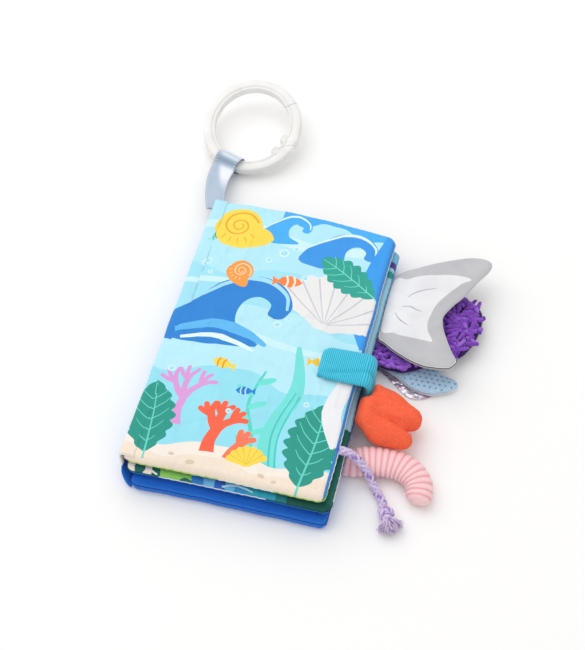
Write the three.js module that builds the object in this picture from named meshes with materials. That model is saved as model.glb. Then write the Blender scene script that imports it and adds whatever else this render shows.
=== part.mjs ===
// Crinkle cloth book: three padded leaves, fabric tails sewn into the fore edge, a closing strap
// and a clip ring on a ribbon loop.
// Millimetres, +Z up. The book lies closed on its back cover: X runs from the spine to the fore
// edge, Y from the tail edge to the head edge. Pieces are placed from the spine and the tail edge,
// and the group at the end moves the origin to the middle of the back cover's underside.
import * as THREE from 'three';

// Cloth, padding and the clearances between sewn layers
const clothThickness = 0.6;
const filmThickness = 0.2;
const layerGap = 0.3;
const seamGap = 0.3;
const touchGap = 0.3;
const floorGap = 0.3;

// Leaves: half thickness at the rim of a face, crown of a face, corner radius, drawn-in sides. The
// head edge stands higher at the spine by headSkew, and bows outwards by headBulge
const leafHalfThickness = 3.6;
const leafCrown = 0.5;
const leafGap = 0.5;
const leafCorner = 7;
const leafDrawIn = 0.8;
const filmMargin = 9;
const backCover = { left: 8, right: 126, front: -4, head: 199.5, headSkew: 2, headBulge: 2.5 };
const middleLeaf = { left: 4.8, right: 127, front: 0.5, head: 202.5, headSkew: 3, headBulge: 3 };
const frontCover = { left: 2.4, right: 123.6, front: 2, head: 206.2, headSkew: 4.5, headBulge: 4.5 };

// Places across the rounded rim of a leaf, as shares of its half thickness
const rimShares = [0, 0.13, 0.5, 1];
const leafColumns = 4;
const leafRows = 6;

// Spine panel: a cloth fold round the leaves' spine edges, in an upper and a lower half
const spinePanel = { thickness: 1, bulge: 5.5, front: 3, reach: 12.85, headTuck: 1, headStep: 4 };
const spineRoundness = 0.6;
const spineTopAngle = 90;
const spineMiddleAngle = 181;
const spineBottomAngle = 228;
const spineSteps = 12;

// Closing strap: a sleeve of two plies round an elastic band, sewn to the front cover by a tab
const strap = { left: 98.8, front: 82, back: 106, bottom: 2, bend: 6, elasticMargin: 2 };
const strapPlies = { outer: 1.2, elastic: 0.8, inner: 0.6 };
const strapTab = { length: 2, thickness: 0.8 };
const hookPad = { thickness: 1.6, low: 0.4, height: 4.6, margin: 1.5 };
const loopPad = { thickness: 1.4, low: 1.4, height: 4.4 };

// Ribbon loop, from the spine's head end to the fold that holds the ring
const ribbon = {
  rootWidth: 13, foldWidth: 17, thickness: 0.5, plySpread: 0.8, foldRadius: 6, swing: 20, rootGap: 0.9,
};
const ribbonRoot = { x: 0.5, z: 13.2 };
const ribbonFold = { x: -3.9, z: 6.85, length: 50 };
const ribbonAngle = THREE.MathUtils.degToRad(-20);
const ribbonStations = 7;
const foldStations = 10;

// Clip ring: an oval of grooved section with a swelling at each side of the clasp
const ring = { halfWidth: 30, halfLength: 35, tubeWidth: 8.4, tubeHeight: 6.4, seatDrop: 0.3, seatBack: 0.6 };
const ringTurn = THREE.MathUtils.degToRad(6.5);
const ringTilt = THREE.MathUtils.degToRad(9);
const ringSeatAngle = -113;
const gateStartAngle = -27;
const gateEndAngle = 33;
const gateGapAngle = 0.7;
const claspAngles = [-33, -18];
const claspSpreadAngle = 4;
const claspSwellShare = 0.2;
const claspCutAngle = 5.5;
const claspRampAngle = 12;
const ringSteps = 40;
const gateSteps = 12;

// The ring's section: across, towards its middle, and up, as shares of half its width and height
const ringSectionShares = [
  [1, 0.2], [0.92, 0.62], [0.62, 0.68], [0.42, 0.42], [0.2, 0.9], [-0.35, 1], [-0.82, 0.74], [-1, 0.22],
];

// Fabric tails. An outline runs anticlockwise as shares of the tail's length and width, and the
// centre is a place inside it from which the whole outline can be seen
const tailRingShares = [0.4, 0.72, 0.91, 1];
const foilTail = { length: 43, frontStep: 3.6, width: 22, thickness: 1.1, tuck: 0.7 };
const foilOutlineShares = [
  [0, 0.98], [0, 0.78], [0.2, 0.66], [0.44, 0.32], [0.68, 0], [0.88, 0.06], [1, 0.28],
  [0.92, 0.6], [0.7, 0.85], [0.4, 1],
];
const dottedTail = { length: 56, front: 102.6, width: 25.4, half: 1.9, gapBelow: 0.5, fillInset: 4 };
const dottedCentreShare = [0.55, 0.45];
const dottedOutlineShares = [
  [1, 0.42], [0.94, 0.56], [0.84, 0.6], [0.72, 0.72], [0.55, 0.85], [0.4, 0.95], [0.2, 1],
  [0, 0.95], [0, 0.8], [0, 0.62], [0.14, 0.52], [0.34, 0.31], [0.52, 0.06], [0.71, 0],
  [0.82, 0.09], [0.94, 0.22],
];
const chenilleTail = {
  length: 63, front: 111, width: 66, pile: 4.6, backing: 1.8, gapBelow: 0.6, rootDrop: 2, settle: 6,
};
const chenilleCentreShare = [0.52, 0.5];
const chenilleOutlineShares = [
  [0.92, 0.45], [0.97, 0.66], [0.96, 0.85], [0.86, 0.97], [0.72, 1], [0.58, 0.93], [0.42, 0.78],
  [0.26, 0.6], [0.12, 0.48], [0, 0.42], [0, 0.25], [0, 0.08], [0.12, 0.01], [0.3, 0],
  [0.5, 0.1], [0.61, 0.25], [0.72, 0.3], [0.83, 0.3],
];
const flukeTail = {
  length: 60, front: 111, width: 92, half: 3, lift: 1.9, rootLift: 1.3, settle: 5, fillInset: 2.6,
};
const flukeSlope = 0.11;
const flukeRootShare = 0.73;
const flukeCentreShare = [0.4, 0.45];
const flukeOutlineShares = [
  [0.619, 0.421], [0.634, 0.476], [0.704, 0.563], [0.787, 0.644], [0.888, 0.781], [0.97, 0.873],
  [1, 0.941], [0.963, 0.983], [0.851, 1], [0.696, 0.984], [0.445, 0.921], [0.249, 0.855],
  [0.103, 0.8], [0.015, flukeRootShare], [0, 0.6], [0, 0.4], [0, 0.206], [0.096, 0.147], [0.218, 0.092],
  [0.391, 0.034], [0.554, 0.001], [0.677, 0], [0.786, 0.01], [0.838, 0.041], [0.856, 0.085],
  [0.784, 0.162], [0.721, 0.24], [0.653, 0.337],
];
const clawTail = { length: 39, front: 53.5, width: 39, half: 8.5, lift: 0.7, settle: 14, fillInset: 2.4 };
const clawCentreShare = [0.36, 0.36];
const clawOutlineShares = [
  [0.59, 0.345], [0.81, 0.405], [0.95, 0.475], [1, 0.68], [0.91, 0.805], [0.76, 0.9], [0.58, 0.99],
  [0.42, 1], [0.35, 0.86], [0.33, 0.71], [0.17, 0.705], [0, 0.68], [0, 0.5], [0, 0.31],
  [0.1, 0.185], [0.23, 0.07], [0.39, 0], [0.55, 0.005], [0.73, 0.05], [0.88, 0.12], [0.9, 0.25],
];

// Ribbed tail: a stuffed curved tube of wide-wale cloth. A station of its route gives the place
// along, the place across and the half width, as shares of length, reach and halfWidth
const ribbedTail = { length: 48, front: 20.5, reach: 26, halfWidth: 9.4, halfHeight: 6, ribDepth: 0.7 };
const ribbedTailRibs = 17;
const ribbedTailSides = 10;
const ribbedFullShare = 0.15;
const stuffingEvery = 4;
const ribbedRouteShares = [
  [0, 0.82, 0.8], [0.1, 0.83, 0.93], [0.31, 0.94, 1], [0.48, 0.99, 0.99], [0.64, 0.985, 0.96],
  [0.79, 0.9, 0.92], [0.9, 0.75, 0.85], [0.97, 0.55, 0.77], [0.99, 0.36, 0.7], [1, 0.18, 0.55],
  [1.01, 0.08, 0.2],
];

// Braided cord, its knot and its frayed end. The route leaves the front cover's fore edge
const cordDiameter = 5;
const cordSides = 8;
const cordSteps = 12;
const cordRoute = [
  [123.6, 38.9, 21.0], [126.4, 39.0, 20.7], [129.3, 38.9, 19.8], [132.2, 38.5, 18.1],
  [135.0, 37.9, 15.9], [137.8, 37.0, 13.5], [140.4, 35.4, 11.2], [142.6, 33.6, 8.9],
  [144.6, 31.9, 6.5], [146.8, 29.9, 4.5], [149.2, 27.3, 3.2], [151.6, 24.2, 2.9],
  [153.6, 20.8, 2.9], [155.2, 17.4, 3.0],
];
const knot = { radius: 4.3, sides: 12, rings: 8 };
const frayedEnd = { length: 10.5, radius: 6.6 };
const frayedFlatShare = 0.62;

// The frayed end's outline: radius and length, as shares of its own
const frayedOutlineShares = [[0, 0], [0.4, 0], [0.8, 0.45], [1, 0.8], [0.75, 1], [0, 0.92]];

const palette = {
  cover: 0x8fdcf2, page: 0x1f6b5e, deepBlue: 0x1f5fc8, film: 0xe8eef2, wadding: 0xf4f2ec,
  strap: 0x45c8e4, pad: 0xdfe6ea, ribbon: 0xc8d4e4, ring: 0xf2f1ec, grey: 0xc4c4c6,
  chenille: 0x7a3fb0, dotted: 0xa6c8e6, foil: 0xd8c4d4, plush: 0xff6238, corduroy: 0xf6b0b4,
  cord: 0xd0b6e4,
};
const clothRoughness = 0.9;
const satinRoughness = 0.35;

const book = new THREE.Group();

function addPiece(name, geometry, color, roughness = clothRoughness, parent = book) {
  const material = new THREE.MeshStandardMaterial({ color, roughness, metalness: 0 });
  const mesh = new THREE.Mesh(geometry, material);
  mesh.name = name;
  parent.add(mesh);
  return mesh;
}

function geometryFrom(positions, indices) {
  const geometry = new THREE.BufferGeometry();
  geometry.setAttribute('position', new THREE.Float32BufferAttribute(positions, 3));
  geometry.setIndex(indices);
  geometry.computeVertexNormals();
  return geometry;
}

// A patch is a sheet of points with triangles facing up and its border in anticlockwise order

function gridPatch(rows) {
  const columns = rows[0].length;
  const at = (row, column) => row * columns + column;
  const triangles = [];
  const border = [];
  for (let row = 0; row < rows.length - 1; row += 1) {
    for (let column = 0; column < columns - 1; column += 1) {
      triangles.push(at(row, column), at(row, column + 1), at(row + 1, column + 1));
      triangles.push(at(row, column), at(row + 1, column + 1), at(row + 1, column));
    }
  }
  for (let column = 0; column < columns - 1; column += 1) border.push(at(0, column));
  for (let row = 0; row < rows.length - 1; row += 1) border.push(at(row, columns - 1));
  for (let column = columns - 1; column > 0; column -= 1) border.push(at(rows.length - 1, column));
  for (let row = rows.length - 1; row > 0; row -= 1) border.push(at(row, 0));
  return { points: rows.flat(), triangles, border };
}

function ringPatch(centre, rings) {
  const count = rings[0].length;
  const at = (level, index) => 1 + level * count + (index % count);
  const triangles = [];
  for (let index = 0; index < count; index += 1) {
    triangles.push(0, at(0, index), at(0, index + 1));
    for (let level = 0; level < rings.length - 1; level += 1) {
      triangles.push(at(level, index), at(level + 1, index), at(level + 1, index + 1));
      triangles.push(at(level, index), at(level + 1, index + 1), at(level, index + 1));
    }
  }
  const border = rings[0].map((point, index) => at(rings.length - 1, index));
  return { points: [centre, ...rings.flat()], triangles, border };
}

// A closed body between two patches of the same layout, joined along their borders
function bodyBetween(upper, lower) {
  const offset = upper.points.length;
  const positions = [...upper.points, ...lower.points].flatMap((point) => [point.x, point.y, point.z]);
  const indices = [...upper.triangles];
  for (let index = 0; index < lower.triangles.length; index += 3) {
    const [a, b, c] = lower.triangles.slice(index, index + 3);
    indices.push(offset + a, offset + c, offset + b);
  }
  upper.border.forEach((start, index) => {
    const next = (index + 1) % upper.border.length;
    const end = upper.border[next];
    const startBelow = offset + lower.border[index];
    const endBelow = offset + lower.border[next];
    indices.push(startBelow, endBelow, end, startBelow, end, start);
  });
  return geometryFrom(positions, indices);
}

function meanPoint(points) {
  return points.reduce((sum, point) => sum.add(point), new THREE.Vector3()).divideScalar(points.length);
}

// One wall of a tube: rings of points in order along it, each anticlockwise seen from its far end
function tubeWall(rings, start, facesOut) {
  const count = rings[0].length;
  const indices = [];
  const add = (a, b, c) => indices.push(...(facesOut ? [a, b, c] : [a, c, b]));
  for (let level = 0; level < rings.length - 1; level += 1) {
    for (let side = 0; side < count; side += 1) {
      const a = start + level * count + side;
      const b = start + level * count + ((side + 1) % count);
      add(a, b, b + count);
      add(a, b + count, a + count);
    }
  }
  const last = start + (rings.length - 1) * count;
  const tip = start + rings.length * count;
  for (let side = 0; side < count; side += 1) {
    add(last + side, last + ((side + 1) % count), tip);
  }
  return { points: [...rings.flat(), meanPoint(rings[rings.length - 1])], indices };
}

// A solid tube, or a sleeve that is open at its first ring and closed at its last
function tubeBody(rings, innerRings) {
  const count = rings[0].length;
  const outer = tubeWall(rings, 0, true);
  const points = outer.points;
  const indices = outer.indices;
  const innerStart = points.length;
  if (innerRings) {
    const inner = tubeWall(innerRings, innerStart, false);
    points.push(...inner.points);
    indices.push(...inner.indices);
  } else {
    points.push(meanPoint(rings[0]));
  }
  for (let side = 0; side < count; side += 1) {
    const next = (side + 1) % count;
    if (innerRings) {
      indices.push(side, innerStart + side, innerStart + next, side, innerStart + next, next);
    } else {
      indices.push(next, side, innerStart);
    }
  }
  return geometryFrom(points.flatMap((point) => [point.x, point.y, point.z]), indices);
}

// Levels of the leaves' middle planes, worked out from the stack
backCover.mid = leafHalfThickness;
backCover.top = backCover.mid + leafHalfThickness + leafCrown;
middleLeaf.mid = backCover.top + leafGap + leafCrown + leafHalfThickness;
middleLeaf.top = middleLeaf.mid + leafHalfThickness + leafCrown;
frontCover.mid = middleLeaf.top + leafGap + leafCrown + leafHalfThickness;
frontCover.top = frontCover.mid + leafHalfThickness + leafCrown;

// The fore edge of a leaf is drawn in most at its middle
function foreEdge(leaf, y) {
  const half = (leaf.head - leaf.front) / 2;
  return leaf.right - leafDrawIn * (1 - ((y - leaf.front - half) / half) ** 2);
}

function roundedRise(distance, radius) {
  const share = Math.min(distance / radius, 1);
  return Math.sqrt(1 - (1 - share) ** 2);
}

function evenPlaces(half, intervals) {
  return Array.from({ length: intervals + 1 }, (_, index) => half * ((2 * index) / intervals - 1));
}

function placesAcross(half, rim, intervals) {
  const edge = rimShares.slice(0, -1).map((share) => half - rim * share);
  return [...edge.map((place) => -place), ...evenPlaces(half - rim, intervals), ...edge.reverse()];
}

// Squares of the grid near a corner are drawn on to a quarter disc
function roundCorner(x, y, halfX, halfY, radius) {
  const overX = Math.abs(x) - (halfX - radius);
  const overY = Math.abs(y) - (halfY - radius);
  if (overX <= 0 || overY <= 0) return [x, y];
  const pull = Math.max(overX, overY) / Math.hypot(overX, overY);
  return [
    Math.sign(x) * (halfX - radius + overX * pull),
    Math.sign(y) * (halfY - radius + overY * pull),
  ];
}

// A face of a leaf, on its upper (1) or lower (-1) side, or a layer under that face
function leafFace(leaf, side, { inset, crown = leafCrown, margin = 0, columns = leafColumns, rows = leafRows }) {
  const halfX = (leaf.right - leaf.left) / 2 - inset;
  const halfY = (leaf.head - leaf.front) / 2 - inset;
  const rim = leafHalfThickness - inset;
  const rise = leafHalfThickness - seamGap / 2 - inset;
  const isFlat = margin > 0;
  const xPlaces = isFlat ? evenPlaces(halfX - margin, columns) : placesAcross(halfX, rim, columns);
  const yPlaces = isFlat ? evenPlaces(halfY - margin, rows) : placesAcross(halfY, rim, rows);
  return gridPatch(yPlaces.map((y) => xPlaces.map((x) => {
    const lift = roundedRise(Math.min(halfX - Math.abs(x), halfY - Math.abs(y)), rim);
    const swell = crown * Math.cos((Math.PI * x) / (2 * halfX)) * Math.cos((Math.PI * y) / (2 * halfY));
    const [roundX, roundY] = roundCorner(x, y, halfX, halfY, leafCorner - inset);
    const headShare = (y / halfY + 1) / 2;
    const headRise = leaf.headBulge * (1 - (x / halfX) ** 2) - (leaf.headSkew * x) / (2 * halfX);
    return new THREE.Vector3(
      (leaf.left + leaf.right) / 2 + roundX * (1 - (leafDrawIn / halfX) * (1 - (y / halfY) ** 2)),
      (leaf.front + leaf.head) / 2 + roundY * (1 - (leafDrawIn / halfY) * (1 - (x / halfX) ** 2))
        + headShare * headRise,
      leaf.mid + side * (seamGap / 2 + rise * lift + swell),
    );
  })));
}

const underCloth = clothThickness + layerGap;
const underFilm = underCloth + filmThickness + layerGap;

function addLeaf(leaf, names, colors, underside = {}) {
  addPiece(names.upper, bodyBetween(
    leafFace(leaf, 1, { inset: 0 }),
    leafFace(leaf, 1, { inset: clothThickness }),
  ), colors.upper);
  addPiece(names.film, bodyBetween(
    leafFace(leaf, 1, { inset: underCloth, margin: filmMargin }),
    leafFace(leaf, 1, { inset: underCloth + filmThickness, margin: filmMargin }),
  ), palette.film, satinRoughness);
  addPiece(names.wadding, bodyBetween(
    leafFace(leaf, 1, { inset: underFilm }),
    leafFace(leaf, -1, { inset: underFilm, crown: underside.crown }),
  ), palette.wadding);
  addPiece(names.lower, bodyBetween(
    leafFace(leaf, -1, { inset: clothThickness, ...underside }),
    leafFace(leaf, -1, { inset: 0, ...underside }),
  ), colors.lower);
}

addLeaf(backCover, {
  upper: 'back_cover_inner_cloth', film: 'back_cover_crinkle_film',
  wadding: 'back_cover_wadding', lower: 'back_cover_outer_cloth',
}, { upper: palette.deepBlue, lower: palette.deepBlue }, { crown: 0, rows: 1 });
addLeaf(middleLeaf, {
  upper: 'middle_leaf_upper_cloth', film: 'middle_leaf_crinkle_film',
  wadding: 'middle_leaf_wadding', lower: 'middle_leaf_lower_cloth',
}, { upper: palette.page, lower: palette.page });
addLeaf(frontCover, {
  upper: 'front_cover_outer_cloth', film: 'front_cover_crinkle_film',
  wadding: 'front_cover_wadding', lower: 'front_cover_inner_cloth',
}, { upper: palette.cover, lower: palette.deepBlue });

// A shape in the XZ plane, drawn out along Y
function drawnAlongY(shape, front, back) {
  const geometry = new THREE.ExtrudeGeometry(shape, {
    depth: back - front, bevelEnabled: false, curveSegments: 5,
  });
  geometry.rotateX(Math.PI / 2);
  geometry.translate(0, back, 0);
  return geometry;
}

// Spine panel halves

function spinePoint(angle, offset) {
  const radians = THREE.MathUtils.degToRad(angle);
  const z = frontCover.top / 2 + spinePanel.reach * Math.sin(radians);
  const climb = (z - backCover.mid) / (frontCover.mid - backCover.mid);
  const lean = THREE.MathUtils.lerp(backCover.left, frontCover.left, climb) + leafHalfThickness;
  const x = lean - spinePanel.bulge * Math.abs(Math.cos(radians)) ** spineRoundness;
  return new THREE.Vector2(x - offset * Math.abs(Math.cos(radians)), z + offset * Math.sin(radians));
}

const spineHead = frontCover.head + frontCover.headSkew / 2 - spinePanel.headTuck;

function spineHalf(startAngle, endAngle, head) {
  const angles = Array.from({ length: spineSteps + 1 },
    (_, index) => THREE.MathUtils.lerp(startAngle, endAngle, index / spineSteps));
  const outer = angles.map((angle) => spinePoint(angle, spinePanel.thickness / 2));
  const inner = angles.map((angle) => spinePoint(angle, -spinePanel.thickness / 2));
  return drawnAlongY(new THREE.Shape([...outer, ...inner.reverse()]), spinePanel.front, head);
}

const spineSeamAngle = THREE.MathUtils.radToDeg(seamGap / spinePanel.reach);
addPiece('spine_panel_upper', spineHalf(spineTopAngle, spineMiddleAngle - spineSeamAngle / 2, spineHead),
  palette.cover);
addPiece('spine_panel_lower', spineHalf(
  spineMiddleAngle + spineSeamAngle / 2, spineBottomAngle, spineHead - spinePanel.headStep), palette.deepBlue);

// Closing strap: every ply follows the same bent path at its own depth under the outer face

function block(xRange, yRange, zRange) {
  const [x, y, z] = [xRange, yRange, zRange].map(([low, high]) => (low + high) / 2);
  const [width, depth, height] = [xRange, yRange, zRange].map(([low, high]) => high - low);
  return new THREE.BoxGeometry(width, depth, height).translate(x, y, z);
}

const elasticDepth = strapPlies.outer + layerGap;
const innerPlyDepth = elasticDepth + strapPlies.elastic + layerGap;
const strapThickness = innerPlyDepth + strapPlies.inner;
const strapTop = frontCover.top + touchGap + strapThickness;
const loopPadInner = foreEdge(backCover, strap.back) + touchGap;
const loopPadOuter = loopPadInner + loopPad.thickness;
const hookPadOuter = loopPadOuter + touchGap + hookPad.thickness;
const strapRight = hookPadOuter + touchGap + strapThickness;

function strapPly(depth, thickness, margin = 0) {
  const outline = new THREE.Shape();
  const outerX = strapRight - depth;
  const innerX = outerX - thickness;
  const outerZ = strapTop - depth;
  const bendX = strapRight - strap.bend;
  const bendZ = strapTop - strap.bend;
  const endX = strap.left + depth + margin + thickness / 2;
  outline.moveTo(outerX, strap.bottom + margin);
  outline.lineTo(outerX, bendZ);
  outline.absarc(bendX, bendZ, strap.bend - depth, 0, Math.PI / 2, false);
  outline.lineTo(endX, outerZ);
  outline.absarc(endX, outerZ - thickness / 2, thickness / 2, Math.PI / 2, (Math.PI * 3) / 2, false);
  outline.lineTo(bendX, outerZ - thickness);
  outline.absarc(bendX, bendZ, strap.bend - depth - thickness, Math.PI / 2, 0, true);
  outline.lineTo(innerX, strap.bottom + margin);
  return drawnAlongY(outline, strap.front + margin, strap.back - margin);
}

addPiece('strap_outer_ply', strapPly(0, strapPlies.outer), palette.strap);
addPiece('strap_elastic_band', strapPly(elasticDepth, strapPlies.elastic, strap.elasticMargin), palette.pad);
addPiece('strap_inner_ply', strapPly(innerPlyDepth, strapPlies.inner), palette.strap);

const padRange = [strap.front + hookPad.margin, strap.back - hookPad.margin];
addPiece('strap_hook_pad', block([hookPadOuter - hookPad.thickness, hookPadOuter], padRange,
  [strap.bottom + hookPad.low, strap.bottom + hookPad.low + hookPad.height]), palette.pad);
addPiece('strap_loop_pad', block([loopPadInner, loopPadOuter], padRange,
  [loopPad.low, loopPad.low + loopPad.height]), palette.pad);
const tabRight = strap.left + innerPlyDepth - layerGap;
const tabLow = frontCover.top + touchGap;
addPiece('strap_sewn_tab', block([tabRight - strapTab.length, tabRight], [strap.front, strap.back],
  [tabLow, tabLow + strapTab.thickness]), palette.strap);

// Ribbon loop: an upper and a lower ply from the spine's head end, joined by a round fold

const up = new THREE.Vector3(0, 0, 1);
const foldAcross = new THREE.Vector3(Math.cos(ribbonAngle), Math.sin(ribbonAngle), 0);
const foldAway = new THREE.Vector3(-foldAcross.y, foldAcross.x, 0);
const rootPlace = new THREE.Vector3(ribbonRoot.x, spineHead + ribbon.rootGap, ribbonRoot.z);
const foldPlace = new THREE.Vector3(ribbonFold.x, rootPlace.y + ribbonFold.length, ribbonFold.z);
const foldSpread = ribbon.foldRadius + ribbon.thickness / 2;

function ribbonStation(share) {
  const control = foldPlace.clone().addScaledVector(foldAway, -ribbon.swing);
  const place = new THREE.QuadraticBezierCurve3(rootPlace, control, foldPlace).getPoint(share);
  place.z = THREE.MathUtils.lerp(rootPlace.z, foldPlace.z, share);
  const across = new THREE.Vector3(Math.cos(ribbonAngle * share), Math.sin(ribbonAngle * share), 0);
  const spread = THREE.MathUtils.lerp(ribbon.plySpread / 2, foldSpread, share ** 2);
  const width = THREE.MathUtils.lerp(ribbon.rootWidth, ribbon.foldWidth, share);
  return { place, across, spread, width };
}

function ribbonRows(side) {
  const rows = [];
  const addRow = (centre, across, normal, width) => {
    const middle = centre.clone().addScaledVector(normal, (side * ribbon.thickness) / 2);
    rows.push([1, 0, -1].map((way) => middle.clone().addScaledVector(across, (way * width) / 2)));
  };
  const stations = Array.from({ length: ribbonStations }, (_, index) => ribbonStation(index / (ribbonStations - 1)));
  stations.forEach(({ place, across, spread, width }) => addRow(
    place.clone().addScaledVector(up, -spread), across, up.clone().negate(), width));
  for (let index = 1; index < foldStations; index += 1) {
    const angle = (Math.PI * index) / foldStations - Math.PI / 2;
    const normal = foldAway.clone().multiplyScalar(Math.cos(angle)).addScaledVector(up, Math.sin(angle));
    addRow(foldPlace.clone().addScaledVector(normal, foldSpread), foldAcross, normal, ribbon.foldWidth);
  }
  stations.reverse().forEach(({ place, across, spread, width }) => addRow(
    place.clone().addScaledVector(up, spread), across, up, width));
  return rows;
}

addPiece('ribbon_loop', bodyBetween(gridPatch(ribbonRows(1)), gridPatch(ribbonRows(-1))),
  palette.ribbon, satinRoughness);

// Clip ring: its body is open at the clasp, and a flexing gate closes it. The cut at the gate's
// free end is slanted, so that the gate can be pushed inwards past the body

const ringSection = [
  ...ringSectionShares,
  ...ringSectionShares.map(([across, height]) => [across, -height]).reverse(),
];

function ringPoint(angle, across, height) {
  const radians = THREE.MathUtils.degToRad(angle);
  const place = new THREE.Vector3(ring.halfWidth * Math.cos(radians), ring.halfLength * Math.sin(radians), height);
  const outward = new THREE.Vector3(
    ring.halfLength * Math.cos(radians), ring.halfWidth * Math.sin(radians), 0).normalize();
  return place.addScaledVector(outward, -across).applyAxisAngle(up, ringTurn);
}

function ringRing(angle) {
  const fromClasp = (other) => Math.abs(THREE.MathUtils.euclideanModulo(angle - other + 180, 360) - 180);
  const swell = claspAngles.reduce((sum, clasp) => (
    sum + claspSwellShare * Math.exp(-((fromClasp(clasp) / claspSpreadAngle) ** 2))), 1);
  const cut = claspCutAngle * Math.max(0, 1 - fromClasp(gateStartAngle) / claspRampAngle);
  return ringSection.map(([across, height]) => ringPoint(
    angle - cut * across,
    (across * swell * ring.tubeWidth) / 2,
    (height * swell * ring.tubeHeight) / 2,
  ));
}

// Rings of points stand closer together near the two ends of an arc
function ringArc(startAngle, endAngle, steps) {
  const angles = Array.from({ length: steps + 1 }, (_, index) => (
    THREE.MathUtils.lerp(startAngle, endAngle, (1 - Math.cos((Math.PI * index) / steps)) / 2)));
  return tubeBody(angles.map(ringRing));
}

const ringGroup = new THREE.Group();
ringGroup.rotation.x = ringTilt;
const seatPlace = foldPlace.clone().addScaledVector(foldAway, -ring.seatBack).addScaledVector(up, -ring.seatDrop);
ringGroup.position.copy(seatPlace).sub(ringPoint(ringSeatAngle, 0, 0).applyEuler(ringGroup.rotation));
book.add(ringGroup);
addPiece('ring_body', ringArc(gateEndAngle + gateGapAngle, gateStartAngle - gateGapAngle + 360, ringSteps),
  palette.ring, satinRoughness, ringGroup);
addPiece('ring_gate', ringArc(gateStartAngle, gateEndAngle, gateSteps), palette.ring, satinRoughness, ringGroup);

// Puffed tails: rings of points shrink from the outline to a centre, and the thickness swells inwards

function puffRise(share) {
  return Math.sqrt(1 - share ** 3);
}

// One face of a tail: side 1 is above its middle surface, and layers under it are inset
function tailFace(tail, outlineShares, centreShare, side, half, inset = 0) {
  const [centreX, centreY] = [tail.root + centreShare[0] * tail.length, tail.front + centreShare[1] * tail.width];
  const heightAt = (x, share) => tail.levelAt(x) + side * (seamGap / 2 + (half - seamGap / 2) * puffRise(share));
  const rings = tailRingShares.map((share) => outlineShares.map(([along, across]) => {
    const overX = tail.root + along * tail.length - centreX;
    const overY = tail.front + across * tail.width - centreY;
    const reach = share * (1 - inset / Math.hypot(overX, overY));
    const x = centreX + overX * reach;
    return new THREE.Vector3(x, centreY + overY * reach, heightAt(x, share));
  }));
  return ringPatch(new THREE.Vector3(centreX, centreY, heightAt(centreX, 0)), rings);
}

function addStuffedTail(tail, outlineShares, centreShare, names, colors) {
  const face = (side, depth, inset) => tailFace(tail, outlineShares, centreShare, side, tail.half - depth, inset);
  addPiece(names.upper, bodyBetween(face(1, 0, 0), face(1, clothThickness, clothThickness)), colors.upper);
  addPiece(names.fill, bodyBetween(face(1, underCloth, tail.fillInset), face(-1, underCloth, tail.fillInset)),
    palette.wadding);
  addPiece(names.lower, bodyBetween(face(-1, clothThickness, clothThickness), face(-1, 0, 0)), colors.lower);
}

function settled(tail, x) {
  return Math.min((x - tail.root) / tail.settle, 1);
}

// Foil tail: a flat crinkly sheet on a backing, tucked under the back cover's rounded rim

function flatTail(tail, outlineShares, low, thickness) {
  const corners = outlineShares.map(([along, across]) => new THREE.Vector2(
    tail.root + along * tail.length, tail.front + across * tail.width));
  return new THREE.ExtrudeGeometry(new THREE.Shape(corners), { depth: thickness, bevelEnabled: false })
    .translate(0, 0, low);
}

foilTail.front = dottedTail.front - foilTail.frontStep;
foilTail.root = foreEdge(backCover, foilTail.front + foilTail.width) + touchGap - foilTail.tuck;
const foilPly = (foilTail.thickness - layerGap) / 2;
addPiece('foil_tail_backing', flatTail(foilTail, foilOutlineShares, floorGap, foilPly), palette.pad);
addPiece('foil_tail_sheet', flatTail(foilTail, foilOutlineShares, floorGap + foilPly + layerGap, foilPly),
  palette.foil, satinRoughness);

// Dotted tail, over the foil tail
dottedTail.root = foreEdge(backCover, dottedTail.front + dottedTail.width) + touchGap;
dottedTail.level = floorGap + foilTail.thickness + dottedTail.gapBelow + dottedTail.half;
dottedTail.levelAt = () => dottedTail.level;
addStuffedTail(dottedTail, dottedOutlineShares, dottedCentreShare,
  { upper: 'dotted_tail_upper_panel', fill: 'dotted_tail_wadding', lower: 'dotted_tail_satin_lining' },
  { upper: palette.dotted, lower: palette.pad });

// Chenille tail, over the dotted tail: a deep pile on a backing cloth
chenilleTail.root = foreEdge(middleLeaf, chenilleTail.front + chenilleTail.width / 2) + touchGap;
chenilleTail.level = dottedTail.level + dottedTail.half + chenilleTail.gapBelow + chenilleTail.backing;
chenilleTail.levelAt = (x) => THREE.MathUtils.lerp(
  middleLeaf.mid - chenilleTail.rootDrop, chenilleTail.level, settled(chenilleTail, x));
const chenilleFace = (side, half) => tailFace(chenilleTail, chenilleOutlineShares, chenilleCentreShare, side, half);
const chenilleSeam = seamGap / 2;
addPiece('chenille_tail_pile', bodyBetween(chenilleFace(1, chenilleTail.pile), chenilleFace(1, chenilleSeam)),
  palette.chenille);
addPiece('chenille_tail_backing', bodyBetween(
  chenilleFace(-1, chenilleSeam), chenilleFace(-1, chenilleTail.backing)), palette.chenille);

// Fluke tail, over the chenille tail
flukeTail.root = foreEdge(middleLeaf, flukeTail.front + flukeTail.width * flukeRootShare) + touchGap;
flukeTail.levelAt = (x) => middleLeaf.mid + flukeSlope * (x - flukeTail.root)
  + THREE.MathUtils.lerp(flukeTail.rootLift, flukeTail.lift, settled(flukeTail, x));
addStuffedTail(flukeTail, flukeOutlineShares, flukeCentreShare,
  { upper: 'fluke_tail_upper_panel', fill: 'fluke_tail_wadding', lower: 'fluke_tail_lower_panel' },
  { upper: palette.grey, lower: palette.grey });

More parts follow.
